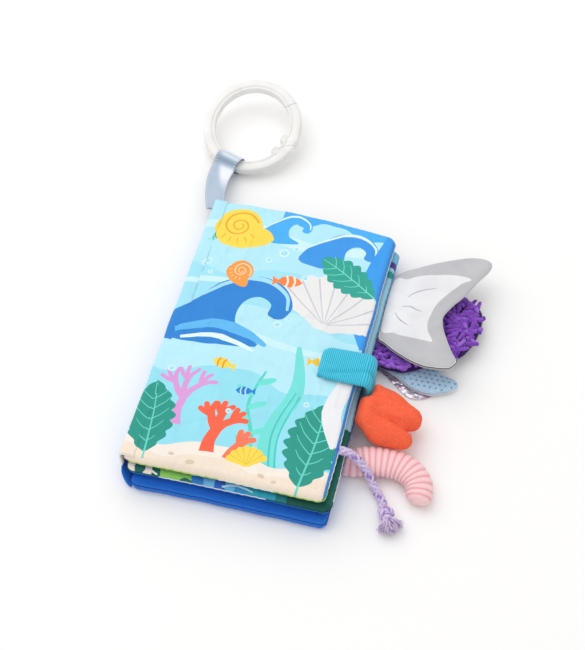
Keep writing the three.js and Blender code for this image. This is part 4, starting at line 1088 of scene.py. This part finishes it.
ribbonForm = {"root": (0.5, 208.35, 13.2), "fold": (-3.9, 258.35, 6.85), "angle": -20, "swing": 20, "radius": 6,
              "rootWidth": 13, "foldWidth": 17, "cutWidth": 15.5, "thick": 0.5, "spread": 0.8, "columns": 13,
              "stations": 60, "turns": 26, "neck": 9, "ticks": 190}
foldAngle = math.radians(ribbonForm["angle"])
foldAcross = np.array([math.cos(foldAngle), math.sin(foldAngle), 0])
foldAway = np.array([-foldAcross[1], foldAcross[0], 0])
foldAt, upWay = np.array(ribbonForm["fold"]), np.array([0, 0, 1.0])


def ribbonStations():
    # Places along a ply, each with its crosswise direction, half opening and width
    root, half = np.array(ribbonForm["root"]), ribbonForm["radius"] + ribbonForm["thick"] / 2
    control = foldAt - foldAway * ribbonForm["swing"]
    slope = math.asin(half / ribbonForm["neck"])
    for t in 1 - (1 - np.linspace(0, 1, ribbonForm["stations"])) ** 1.3:
        place = root * (1 - t) ** 2 + control * 2 * t * (1 - t) + foldAt * t * t
        place[2] = root[2] + (foldAt[2] - root[2]) * t
        # Round the ring as a roll, then straight down to a neck where the plies meet
        away = np.linalg.norm((place - foldAt)[:2])
        narrow, drop = ribbonForm["spread"] / 2 + 0.6 * t, (ribbonForm["neck"] - away) * math.tan(slope)
        spread = (drop + narrow + math.sqrt((drop - narrow) ** 2 + 1.5)) / 2
        if away < half * math.sin(slope):
            spread = math.sqrt(half ** 2 - away ** 2)
        width = ribbonForm["rootWidth"] + (ribbonForm["foldWidth"] - ribbonForm["rootWidth"]) * t ** 0.8
        yield t, place, np.array([math.cos(foldAngle * t), math.sin(foldAngle * t), 0]), spread, width, away


def ribbonRows(side):
    half = ribbonForm["radius"] + ribbonForm["thick"] / 2
    v = np.linspace(-1, 1, ribbonForm["columns"])
    rows, tones, stations = [], [], list(ribbonStations())

    def addRow(middle, across, normal, width, wave, tone):
        lift = side * ribbonForm["thick"] / 2 + wave - 0.1 * np.abs(v) ** 6
        rows.append(middle + v[:, None] * across * width / 2 + lift[:, None] * normal)
        tones.append(tone + 0 * v)

    # The lower ply gets a dim tone, painted shade
    for t, place, across, spread, width, _ in stations:
        wave = 0.175 * math.sin(math.pi * t) * np.sin(2.2 * v + 5 * t)
        addRow(place - upWay * spread, across, -upWay, width, wave, 0.3)
    # Round the fold the tone rises to a painted highlight along the roll's top
    for a in math.pi * np.arange(1, ribbonForm["turns"]) / ribbonForm["turns"] - math.pi / 2:
        normal = foldAway * math.cos(a) + upWay * math.sin(a)
        addRow(foldAt + normal * half, foldAcross, normal, ribbonForm["foldWidth"], 0 * v,
               0.35 + 0.4 * max(math.sin(2 * a - 0.4), 0))
    for t, place, across, spread, width, away in reversed(stations):
        # The tone paints light and shade on the satin: painted shade behind the roll, a painted sheen on the slope, and
        # less painted sheen towards its left selvedge
        paintedShadeBehindRoll = math.exp(-((away - 4.2) / 3.0) ** 2)
        paintedShine = np.clip((v + 0.95 - 1.9 * (1 - t)) / 0.45, 0, 1) * min(max((t - 0.3) / 0.3, 0), 1)
        wave = 0.275 * math.sin(math.pi * t) * np.cos(2.6 * v - 4 * t)
        addRow(place + upWay * spread, across, upWay, width, wave, (0.42 + 0.55 * paintedShine) * (1 - paintedShadeBehindRoll) + 0.06 * paintedShadeBehindRoll)
    return toMetres(rows), np.array(tones)


def addRibbon():
    (outer, tones), (inner, _) = ribbonRows(1), ribbonRows(-1)
    piece = clothBody("ribbonLoop", outer, inner, satinRibbonPaintedShade)
    # The tone attribute carries the satin's painted shade and painted sheen
    paintPoints(piece, "tone", np.tile(tones.ravel(), 2))
    middle = outer[:, ribbonForm["columns"] // 2]
    length, ticks = float(alongOf(middle)[-1]), ribbonForm["ticks"]
    settle(piece, "ribbon", "satin_ribbon", "ribbon_loop")
    runs = []
    for edge, hand in ((0, 1), (-1, -1)):
        # Overlock ticks along each selvedge
        line, nearer = (evenSteps(outer[:, edge] * (1 - share) + middle * share, ticks) for share in (0.03, 0.2))
        lift = np.cross(np.gradient(line, axis=0), nearer - line)
        lift *= hand * 0.02 * mm / np.linalg.norm(lift, axis=1)[:, None]
        runs += [(np.array([line[k], (line[k] + nearer[k]) / 2, nearer[k]]) + lift[k], 0.2 * mm)
                 for k in range(0, ticks, 3)]
    settle(manyTubes("ribbonSelvedge", runs, 5, whiteThread), "ribbon", "satin_ribbon")
    print("ribbon made, cut length", round(length / mm), "mm")


addRibbon()


# Clip ring: an oval of grooved section, its gate, and a swelling at each side of the clasp

ringForm = {"halfWidth": 30, "halfLength": 35, "tube": (8.4, 6.4), "turn": 6.5, "tilt": 9, "seat": -113,
            "gate": (-27, 33), "gap": 0.7, "clasps": (-33, -18), "claspSpread": 4, "claspSwell": 0.2, "cut": 5.5,
            "ramp": 12, "seatDrop": 0.3, "seatBack": 0.6, "bodySteps": 170, "gateSteps": 44}
ringSection = [(1, 0.25), (0.97, 0.78), (0.7, 0.93), (0.5, 0.72), (0.3, 0.97), (-0.35, 1), (-0.85, 0.85), (-1, 0.3)]
# A knuckle's outline from its axis: radius and height
knuckleProfile = [(2.3, -3.2), (3.1, -2.8), (3.6, -1.8), (3.6, 2.0), (3.2, 2.9), (2.5, 3.2), (2.0, 2.9), (1.1, 2.8)]


def tilted(x, y, z):
    tilt = math.radians(ringForm["tilt"])
    return np.stack([x, y * math.cos(tilt) - z * math.sin(tilt), y * math.sin(tilt) + z * math.cos(tilt)], axis=-1)


def ringPlace(angle, across, height):
    a, turn = np.radians(angle), math.radians(ringForm["turn"])
    outward = np.stack([ringForm["halfLength"] * np.cos(a), ringForm["halfWidth"] * np.sin(a)], axis=-1)
    outward /= np.linalg.norm(outward, axis=-1)[..., None]
    x = ringForm["halfWidth"] * np.cos(a) - outward[..., 0] * across
    y = ringForm["halfLength"] * np.sin(a) - outward[..., 1] * across
    return tilted(x * math.cos(turn) - y * math.sin(turn), x * math.sin(turn) + y * math.cos(turn), height)


# The ring hangs by its inner side from the ribbon's fold
ringMiddle = (foldAt - foldAway * ringForm["seatBack"] - upWay * ringForm["seatDrop"]
              - ringPlace(float(ringForm["seat"]), 0.0, 0.0))


def ringRings(start, end, steps):
    section = np.array(ringSection + [(a, -h) for a, h in reversed(ringSection)])
    across, height = np.clip(softSteps(section, 3, True), -1, 1).T
    share = np.arange(steps + 1) / steps
    share = share * 0.6 + 0.4 * (1 - np.cos(math.pi * share)) / 2
    wide, tall = (size / 2 for size in ringForm["tube"])
    rings = []
    for angle in start + (end - start) * share:
        near = [abs((angle - other + 180) % 360 - 180) for other in (*ringForm["clasps"], ringForm["gate"][0])]
        swell = 1 + sum(ringForm["claspSwell"] * math.exp(-(away / ringForm["claspSpread"]) ** 2) for away in near[:2])
        cut = ringForm["cut"] * max(0, 1 - near[2] / ringForm["ramp"])
        rings.append(ringMiddle + ringPlace(angle - cut * across, across * swell * wide, height * swell * tall))
    return toMetres(rings)


def addKnuckle(name, angle, across, body):
    # A barrel on the ring's inner side, its axis square to the ring
    centre = ringMiddle + ringPlace(float(angle), across, 0.0)
    turn = np.arange(28) * math.tau / 28
    rings = [centre + tilted(radius * np.cos(turn), radius * np.sin(turn), height + 0 * turn)
             for radius, height in knuckleProfile]
    settle(loftBody(name, toMetres(rings), ivoryPlastic), body, "ring_plastic")


gateStart, gateEnd = ringForm["gate"]
ringBody = loftBody("ringBody", ringRings(gateEnd + ringForm["gap"], gateStart - ringForm["gap"] + 360,
                                          ringForm["bodySteps"]), ivoryPlastic)
settle(ringBody, "ring", "ring_plastic", "ring_body")
ringGate = loftBody("ringGate", ringRings(gateStart, gateEnd, ringForm["gateSteps"]), ivoryPlastic)
settle(ringGate, "gate", "ring_plastic", "ring_gate")
addKnuckle("ringKnuckle", -40.5, 4.0, "ring")
addKnuckle("gateKnuckle", -18.5, 4.2, "gate")
print("ring made")


# Stuffed tails: two faces over one outline, puffed by the distance to their seam

tailForms = {
    "dotted": {"root": 125.57, "length": 56, "front": 102.6, "width": 25.4, "half": 1.9, "rim": 4.5, "seed": 2,
               "level": 3.8,
               "outline": [(1, 0.42), (0.94, 0.56), (0.84, 0.6), (0.72, 0.72), (0.55, 0.85), (0.4, 0.95), (0.2, 1),
                           (0, 0.95), (0, 0.8), (0, 0.62), (0.14, 0.52), (0.34, 0.31), (0.52, 0.06), (0.71, 0),
                           (0.82, 0.09), (0.94, 0.22)]},
    "chenille": {"root": 126.64, "length": 63, "front": 111, "width": 66, "seed": 4,
                 "outline": [(0.92, 0.45), (0.97, 0.66), (0.96, 0.85), (0.86, 0.97), (0.72, 1), (0.58, 0.93),
                             (0.42, 0.78), (0.26, 0.6), (0.12, 0.48), (0, 0.42), (0, 0.25), (0, 0.08), (0.12, 0.01),
                             (0.3, 0), (0.5, 0.1), (0.61, 0.25), (0.72, 0.3), (0.83, 0.3)]},
    "fluke": {"root": 126.96, "length": 60, "front": 111, "width": 92, "half": 3.0, "rim": 9, "seed": 6,
              "outline": [(0.619, 0.421), (0.634, 0.476), (0.704, 0.563), (0.787, 0.644), (0.888, 0.781),
                          (0.97, 0.873), (1, 0.941), (0.963, 0.983), (0.851, 1), (0.696, 0.984), (0.445, 0.921),
                          (0.249, 0.855), (0.103, 0.8), (0.015, 0.73), (0, 0.6), (0, 0.4), (0, 0.206),
                          (0.096, 0.147), (0.218, 0.092), (0.391, 0.034), (0.554, 0.001), (0.677, 0), (0.786, 0.01),
                          (0.838, 0.041), (0.856, 0.085), (0.784, 0.162), (0.721, 0.24), (0.653, 0.337)]},
    "claw": {"root": 126.68, "length": 39, "front": 53.5, "width": 39, "half": 8.5, "rim": 13, "seed": 9,
             "outline": [(0.8, 0.335), (0.87, 0.365), (0.95, 0.41), (0.995, 0.48), (1, 0.6), (0.95, 0.7), (0.86, 0.76),
                         (0.76, 0.815), (0.67, 0.885), (0.577, 0.945), (0.48, 0.985), (0.38, 1), (0.27, 1),
                         (0.195, 0.97), (0.172, 0.9), (0.17, 0.8), (0.13, 0.72), (0, 0.68), (0, 0.5), (0, 0.31),
                         (0.123, 0.151), (0.26, 0.035), (0.41, 0), (0.565, 0), (0.742, 0.005), (0.87, 0.04),
                         (0.925, 0.12), (0.925, 0.2), (0.88, 0.28), (0.82, 0.3)]},
}


def tailOutline(form, step):
    low, size = np.array([form["root"], form["front"]]), np.array([form["length"], form["width"]])
    smooth = softSteps(low + np.array(form["outline"]) * size, 10, True)
    return evenLoop(np.clip(smooth, low, low + size), step)


def inwardOf(outline):
    # The direction square to an outline and towards its inside
    way = np.roll(outline, -1, axis=0) - np.roll(outline, 1, axis=0)
    return np.stack([-way[:, 1], way[:, 0]], axis=1) / np.linalg.norm(way, axis=1)[:, None]


def fromOutline(outline, points):
    # Distance to the outline, how far round it, and whether a point is inside
    way = np.roll(outline, -1, axis=0) - outline
    length = np.linalg.norm(way, axis=1)
    offset = points[:, None] - outline[None]
    share = np.clip((offset * way[None]).sum(-1) / (length ** 2)[None], 0, 1)
    reach = np.linalg.norm(offset - share[..., None] * way[None], axis=-1)
    near, rows = reach.argmin(axis=1), np.arange(len(points))
    travelled = np.concatenate([[0], np.cumsum(length)])[near] + share[rows, near] * length[near]
    return reach[rows, near], travelled, insideOf(outline, points)


def domeOf(reach, rim):
    # How far a puffed face has risen at this distance from its seam
    return np.sqrt(1 - (1 - np.clip(reach / rim, 0, 1)) ** 2)


def tailFaceMesh(form, art, step=1.2, grid=1.8, insets=(0.15, 0.5, 1.0, 1.7, 2.6, 3.8)):
    outline = tailOutline(form, step)
    x = np.arange(form["root"], form["root"] + form["length"], grid)
    y = np.arange(form["front"], form["front"] + form["width"], grid)
    lattice = np.array([(a + (k % 2) * grid / 2, b) for k, b in enumerate(y) for a in x])
    inner = []
    for points, least in [(lattice, insets[-1] + grid * 0.6)] + [(outline + inwardOf(outline) * inset, inset * 0.93)
                                                                 for inset in insets]:
        reach, _, inside = fromOutline(outline, points)
        inner.append(points[inside & (reach > least)])
    return outline, *cutPage(outline, np.vstack(inner), art)


def addPuff(name, form, levelAt, art, upperInk, lowerInk, material, grid=1.8, dent=None, pucker=0.15, flatBelow=1.0,
            waves=0.03):
    points, faces, inks = [], [], []
    for side, sideArt, base, puff in ((1, art, upperInk, 1), (-1, [], lowerInk, flatBelow)):
        outline, flat, triangles, codes = tailFaceMesh(form, sideArt, grid=grid)
        reach, travelled, _ = fromOutline(outline, flat)
        folds = pucker * np.sin(math.tau * travelled / 4.6 + ripples(travelled, reach, form["seed"], 30))
        soft = waves * form["half"] * ripples(*flat.T, form["seed"] + 3, 18)
        height = (form["half"] * puff * 0.97 + folds * np.exp(-reach / 3) + soft) * domeOf(reach, form["rim"])
        if dent:
            height = height * dent(*flat.T)
        faces += [tuple(len(points) + i for i in t) for t in facing(flat, triangles, side)]
        inks += [ink(code or base) for code in codes]
        points += list(np.column_stack([flat, levelAt(flat[:, 0]) + side * height]))
    return weld(makePiece(name, toMetres(points), faces, material, inks), 2e-6, False)


def edgeThread(name, form, levelAt, offset, stitch, between, material, thick):
    # Short stitches just inside the fluke's seam, where its upper side shows
    step = 0.6
    outline = tailOutline(form, step)
    line = outline + inwardOf(outline) * offset
    first, last = (int(share * len(line)) for share in (0.63, 0.88))
    every, length = max(int((stitch + between) / step), 2), max(int(stitch / step), 2) + 1
    runs = []
    for k in range(first, last - every, every):
        piece = line[k:k + length]
        z = levelAt(piece[:, 0]) + 0.12 + form["half"] * domeOf(offset, form["rim"])
        runs.append((toMetres(np.column_stack([piece, z])), thick * mm))
    settle(manyTubes(name, runs, 6, material), "fluke_tail", "grey_print_cloth")


def settled(x, root, over):
    return np.clip((x - root) / over, 0, 1)


def dottedLevel(x):
    return tailForms["dotted"]["level"] + 0 * x


def chenilleLevel(x):
    return 10.3 - 2.2 * settled(x, 126.64, 6)


def flukeLevel(x):
    return 13.6 + 0.11 * (x - 126.96) + 0.6 * settled(x, 126.96, 5)


def clawLevel(x):
    return 12.3 + 0.7 * settled(x, 126.68, 14) + 5.2 * np.exp(-((x - 132.5) / 6) ** 2)


def hump(across, width):
    return np.exp(-(across / width) ** 2)


def flukeFolds(x, y):
    # Soft folds run out from the sewn root, and one across each blade
    root = np.exp(-(x - 127) / 13) * (0.5 + 0.5 * np.sin(math.tau * y / 12.5 + 0.5 + 0.05 * x))
    blades = hump((x - 149) * 0.5 + (y - 157) * 0.86, 2.4) + hump((x - 146) * 0.8 - (y - 139) * 0.6, 2.2)
    return 1 - 0.3 * root - 0.13 * blades


def clawDent(x, y):
    # The crease between the claw's two lobes runs from its notch towards the root
    crease = np.clip((x - 134) / 16, 0, 1) * hump(y - (70.2 - 0.16 * (x - 134)), 1.7)
    return 1 - 0.55 * crease - 0.07 * hump(x - 147, 7) * hump(y - 78, 5)


flukeWhite = [(128, 175), (136, 177), (145, 181), (156, 183.5), (167, 184.5), (176, 183), (171, 178.5), (166, 172),
              (161, 164.5), (157.5, 157), (156, 150), (155.5, 143), (157, 137), (161, 130), (155, 130.2), (145, 131),
              (137, 132.6), (128, 136)]
flukeLines = [[(139.5, 162.8), (143, 166.2), (149, 169.9), (155.4, 171.9)],
              [(137.6, 154.3), (142.3, 155), (145.7, 153.5), (149.7, 152.1)],
              [(134, 149), (137, 144.6), (140.7, 141.8), (143.6, 140.3)]]
flukeArt = [(softSteps(flukeWhite, 5, True), "#EAEAEC")]
flukeArt += [(stripe(line, [0.5, 1.0, 0.5]), "#B9B9BE") for line in flukeLines]
fluke = addPuff("flukeTail", tailForms["fluke"], flukeLevel, flukeArt, "#C0C0C3", "#B4B4B8", flukeCloth,
                dent=flukeFolds, flatBelow=0.9, waves=0.055)
settle(fluke, "fluke_tail", "grey_print_cloth", "fluke_tail_upper_panel", "fluke_tail_wadding",
       "fluke_tail_lower_panel", fill=0.5)
edgeThread("flukeStitches", tailForms["fluke"], flukeLevel, 0.35, 1.2, 0.0, darkThread, 0.26)
edgeThread("flukeOverlock", tailForms["fluke"], flukeLevel, 0.75, 0.6, 0.6, whiteThread, 0.2)

claw = addPuff("clawTail", tailForms["claw"], clawLevel, [], "#FF6238", "#F25A30", clawPile, dent=clawDent,
               pucker=0.25)
# The stuffed claw is baked in place, not attached to a turning part, so it doesn't turn whole at its seam
clawRoot = toMetres([tailForms["claw"]["root"], 73, 12.3])
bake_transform(claw)
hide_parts("claw_upper_shell", "claw_stuffing", "claw_lower_shell")

dottedTail = addPuff("dottedTail", tailForms["dotted"], dottedLevel, [], "#A6C8E6", "#F4F6F8", dottedPile)
settle(dottedTail, "back_cover", "dotted_plush", "dotted_tail_upper_panel", "dotted_tail_wadding", fill=0.4)


def addDots():
    # Raised dots in a staggered grid, 3.6 mm apart, each a small dome of pile
    form, apart, rowsApart, sides = tailForms["dotted"], 3.6, 3.1, 8
    spots = np.array([(form["root"] + apart * (0.5 + i + (j % 2) / 2), form["front"] + 1 + rowsApart * j)
                      for j in range(9) for i in range(16)])
    reach, _, inside = fromOutline(tailOutline(form, 1.0), spots)
    keep = inside & (reach > 1.3)
    points, faces = [], []
    for (x, y), ground in zip(spots[keep], form["half"] * domeOf(reach[keep], form["rim"]) * 0.97):
        start = len(points)
        profile = ((0.8, -0.5), (0.8, -0.02), (0.6, 0.14), (0.3, 0.22))
        points += [(x + radius * math.cos(a), y + radius * math.sin(a), form["level"] + ground + height)
                   for radius, height in profile for a in np.arange(sides) * math.tau / sides]
        rim = range(start, start + sides)
        faces += ringFaces(len(profile), sides, start)
        faces += [tuple(k + sides * (len(profile) - 1) for k in rim), tuple(reversed(rim))]
    settle(weld(makePiece("dottedTailDots", toMetres(points), faces, dottedDark)), "back_cover", "dotted_plush")


def sheetBand(name, form, low, high, grow, body, slotName, node):
    # A thin cloth under a tail, a little larger or smaller than it
    outline = tailOutline(form, 1.2)
    count, towards = len(outline), outline.mean(axis=0) - outline
    rings = [outline - inwardOf(outline) * grow + towards * share for share in (0, 0.03, 0.08, 0.3, 0.6, 0.85)]
    points, faces = [], []
    for z in (high, low):
        start, last = len(points), len(points) + (len(rings) - 1) * count
        for level, ring in enumerate(rings):
            lift = 0.12 * np.sin(np.arange(count) / 2.1) * (1 if level < 3 else 0.3)
            points += list(np.column_stack([ring, z + lift]))
        points.append((*rings[-1].mean(axis=0), z))
        faces += ringFaces(len(rings), count, start)
        faces += [(last + k, last + (k + 1) % count, len(points) - 1) for k in range(count)]
    below = len(points) // 2
    faces += [((k + 1) % count, k, below + k, below + (k + 1) % count) for k in range(count)]
    piece = weld(makePiece(name, toMetres(points), faces, satinLining))
    settle(piece, body, slotName, node)


addDots()
sheetBand("dottedTailLining", tailForms["dotted"], 1.95, 2.35, 0.0, "back_cover", "satin_lining",
          "dotted_tail_satin_lining")


# Chenille tail: a backing and some hundreds of soft fingers

noodleForm = {"spacing": 3.4, "thick": (1.15, 1.5), "length": (8.5, 12.5), "rings": 10, "sides": 8, "tallest": 5.0,
              "inks": ["#8748C2", "#9655D2", "#743AAE", "#A76CE0", "#8748C2"]}


def addChenille():
    form, step = tailForms["chenille"], noodleForm["spacing"]
    low, size = np.array([form["root"], form["front"]]), np.array([form["length"], form["width"]])
    x, y = np.arange(0, form["length"], step), np.arange(0, form["width"], step * 0.87)
    spots = np.array([(form["root"] + a + (k % 2) * step / 2 + random.uniform(-0.5, 0.5),
                       form["front"] + b + random.uniform(-0.5, 0.5)) for k, b in enumerate(y) for a in x])
    reach, _, inside = fromOutline(tailOutline(form, 1.2), spots)
    s = np.linspace(0, 1, noodleForm["rings"])
    runs, inks = [], []
    for spot in spots[inside & (reach > 1.4)]:
        out = spot - (low + size * (0.6, 0.5))
        out = out / max(np.linalg.norm(out), 1e-6)
        bend = random.uniform(-2.3, 2.3)
        lean = placed([out], 0, 0, math.degrees(bend))[0]
        length, thick = random.uniform(*noodleForm["length"]), random.uniform(*noodleForm["thick"])
        curl = random.uniform(-0.9, 0.9)
        flat = spot + lean * (length * 0.75 * s ** 1.35)[:, None]
        flat += np.outer(s ** 2, (-lean[1], lean[0])) * curl * 2.2
        flat = np.clip(flat, low + thick, low + size - thick)
        # Each rises from the ground, lies over its neighbours and ends in a round, lifted tip
        most = noodleForm["tallest"] - 2 * thick
        top, tip = random.uniform(1.2, most), random.uniform(-0.5, 0.9)
        rise = top * (1 - np.exp(-6 * s)) + tip * s ** 3 + 0.25 * np.sin(9 * s + curl)
        z = float(chenilleLevel(spot[0])) - 0.6 + thick + np.clip(rise, 0, most)
        radii = thick * (1 + 0.09 * np.sin(np.arange(len(s)) * 2.2 + curl * 5))
        radii[-3:] *= [0.97, 0.84, 0.5]
        runs.append((toMetres(np.column_stack([flat, z])), radii * mm))
        inks.append(ink(random.choice(noodleForm["inks"])))
    noodles = manyTubes("chenillePile", runs, noodleForm["sides"], chenilleYarn, inks)
    settle(noodles, "middle_leaf", "chenille", "chenille_tail_pile", fill=0.4)


addChenille()
# The backing is real cloth, but its purple is drawn far darker than the fingers' as painted shade in the gaps between
# them
chenilleGround = addPuff("chenilleBacking", dict(tailForms["chenille"], half=1.7, rim=3.0), chenilleLevel, [],
                         "#3A1560", "#3A1560", chenilleYarn, grid=2.6)
settle(chenilleGround, "middle_leaf", "chenille", "chenille_tail_backing", fill=0.3)
print("puffed tails made")


# Foil tail: a crinkled metallic sheet on a backing

foilForm = {"root": 124.84, "length": 43, "front": 99, "width": 22,
            "outline": [(0, 0.98), (0, 0.78), (0.2, 0.66), (0.44, 0.32), (0.68, 0), (0.88, 0.06), (1, 0.28),
                        (0.92, 0.6), (0.7, 0.85), (0.4, 1)]}


def addFoil():
    _, flat, triangles, _ = tailFaceMesh(foilForm, [], 0.9, 1.2, (0.4, 1.1))
    crinkle = 0.16 * creases(*flat.T, 3, 7) + 0.12 * ripples(*flat.T, 5, 4)
    top, bottom = (toMetres(np.column_stack([flat, level])) for level in (1.18 + crinkle, 0.86 + crinkle * 0.9))
    piece = sheetBody("foilSheet", facing(flat, triangles), top, bottom, foil, smooth=False)
    settle(piece, "back_cover", "foil_cloth", "foil_tail_sheet")
    area = sum(abs(np.cross(flat[b] - flat[a], flat[c] - flat[a])) / 2 for a, b, c in triangles)


addFoil()
sheetBand("foilBacking", foilForm, 0.32, 0.66, -0.2, "back_cover", "foil_cloth", "foil_tail_backing")


# Corduroy tail: a stuffed curved tube with a groove between its wales

waleForm = {"root": 125.96, "length": 48, "front": 20.5, "reach": 26, "halfWidth": 9.9, "halfHeight": 6, "wales": 17,
            "perWale": 12, "depth": 0.8, "sides": 40, "level": 6.3, "low": 3.6, "rootHeight": 3.3, "tipSteps": 16,
            "route": [(0, 0.82, 0.8), (0.1, 0.83, 0.93), (0.31, 0.94, 1), (0.48, 0.99, 0.99), (0.64, 0.985, 0.96),
                      (0.79, 0.9, 0.93), (0.9, 0.75, 0.88), (0.97, 0.55, 0.84), (0.99, 0.36, 0.8), (0.995, 0.2, 0.78),
                      (0.995, 0.1, 0.75)]}


def addCorduroy():
    route = softSteps(waleForm["route"], 14)
    route[:, 2] = np.clip(route[:, 2], 0.05, 1)
    route = route * (waleForm["length"], waleForm["reach"], 1) + (waleForm["root"], waleForm["front"], 0)
    route = evenSteps(route, waleForm["wales"] * waleForm["perWale"] + 1)
    turn = np.arange(waleForm["sides"]) * math.tau / waleForm["sides"]
    rings, paintedWaleShade = [], []
    for k, ((x, y, share), (wayX, wayY)) in enumerate(zip(route, waysOf(route[:, :2]))):
        fill = min(max((x - waleForm["root"]) / (2 * waleForm["halfHeight"]), 0), 1)
        level = waleForm["low"] + (waleForm["level"] - waleForm["low"]) * fill
        tall = waleForm["rootHeight"] + (waleForm["halfHeight"] - waleForm["rootHeight"]) * fill
        rise = abs(math.sin(math.pi * k / waleForm["perWale"])) ** 0.7
        inset = waleForm["depth"] * (1 - rise)
        wide, high = share * waleForm["halfWidth"] - inset, tall * min(share + 0.15, 1) - inset * 0.8
        last = (len(route) - 1 - k) / waleForm["tipSteps"]
        if last < 1:
            rounded = domeOf(last + 0.1 / waleForm["tipSteps"], 1)
            rise, wide, high = max(rise, 1 - last), wide * rounded, high * rounded
        rings.append(np.column_stack([x - wayY * wide * np.cos(turn), y + wayX * wide * np.cos(turn),
                                      np.maximum(level + high * np.sin(turn), 0.32)]))
        # Each ring's rise also sets the painted light and shade of its wale: lighter on top, darker in the groove
        paintedWaleShade += [rise] * waleForm["sides"]
    piece = loftBody("corduroyTail", toMetres(rings), corduroy)
    paintPoints(piece, "wale", paintedWaleShade + [0] * (len(piece.data.vertices) - len(paintedWaleShade)))
    settle(piece, "back_cover", "corduroy", "ribbed_tail_shell", "ribbed_tail_stuffing", fill=0.8)


addCorduroy()
print("corduroy tail made")


# Piping along the leaves' seams, seen at the tail and the fore edge

def addPiping(name, leaf, body, slotName, thick, out, parts):
    # parts give a colour up to each share of the way round, starting at the spine's tail corner
    loop = roundedLoop(*leafHalves(leaf), leaf["corner"], 0.0, 0.5)
    loop = np.roll(loop, -int(np.argmin(loop.sum(axis=1))), axis=0)
    line = leafSurface(leaf, *loop.T, 1)
    away = (line - line.mean(axis=0)) * (1, 1, 0)
    line = line + away / np.linalg.norm(away, axis=1)[:, None] * out
    line[:, 2] += 0.05 * np.sin(np.arange(len(line)) * 0.9)
    shares = [int(share * len(line)) for share, _ in parts]
    runs = [(toMetres(line[first:last + 1]), thick * mm) for first, last in zip(shares, shares[1:])]
    threads = manyTubes(name, runs, 6, pipingYarn, [ink(code) for _, code in parts[1:]])
    settle(threads, body, slotName)


addPiping("coverPiping", leaves["front"], "front_cover", "cover_cloth", 0.38, 0.15,
          [(0.006, None), (0.09, "#BFE07A"), (0.14, "#E9F4E4"), (0.2, "#A9D66A"), (0.26, "#F4F8F6"), (0.5, "#CBE2EC"),
           (0.68, "#A9D8EC")])
addPiping("pagePiping", leaves["middle"], "middle_leaf", "page_cloth", 0.34, 0.15,
          [(0.0, None), (0.03, "#1B6457"), (0.13, "#F2F5F2"), (0.2, "#17584C"), (0.26, "#F2F5F2"), (0.36, "#1F3F7A"),
           (0.52, "#7FB7D8"), (0.82, "#1B6457"), (1.0, "#1B6457")])
addPiping("backPiping", leaves["back"], "back_cover", "blue_cloth", 0.34, 0.0,
          [(0.0, None), (0.5, "#123C8C"), (1.0, "#123C8C")])
print("seams stitched")


# Floor and soft studio light

def addFloor():
    bpy.ops.object.select_all(action="DESELECT")
    bpy.ops.mesh.primitive_plane_add(size=6, location=(0, 0, 0))
    floor = bpy.context.object
    floor.name = "paleFloor"
    floor.data.materials.append(addMaterial("paleFloor", {"Roughness": 0.95, "Specular IOR Level": 0.1,
                                                          "Base Color": (0.94, 0.935, 0.925, 1)}))


def addLights():
    world = bpy.data.worlds.new("studio")
    bpy.context.scene.world = world
    world.use_nodes = True
    tree = world.node_tree
    rays = addNode(tree, "ShaderNodeLightPath").outputs["Is Camera Ray"]
    soft = tree.nodes["Background"]
    soft.inputs["Color"].default_value = (1, 1, 1, 1)
    soft.inputs["Strength"].default_value = 0.76
    clean = addNode(tree, "ShaderNodeBackground", {"Color": (1, 1, 1, 1), "Strength": 1.0})
    mixed = addNode(tree, "ShaderNodeMixShader", {0: rays, 1: soft.outputs[0], 2: clean.outputs[0]})
    tree.links.new(mixed.outputs[0], tree.nodes["World Output"].inputs["Surface"])
    for name, place, size, power in (("key", (-0.65, 0.5, 1.3), 1.8, 12.0), ("fill", (0.5, -1.0, 1.3), 1.6, 2.0)):
        bpy.ops.object.light_add(type="AREA", location=place)
        lamp = bpy.context.object
        lamp.name = name
        lamp.data.shape, lamp.data.size, lamp.data.energy = "SQUARE", size, power
        lamp.rotation_euler = (Vector((0.02, 0.03, 0)) - Vector(place)).to_track_quat("-Z", "Y").to_euler()


addFloor()
addLights()
bpy.context.scene.view_settings.view_transform = "Standard"
print("stage and lights ready")

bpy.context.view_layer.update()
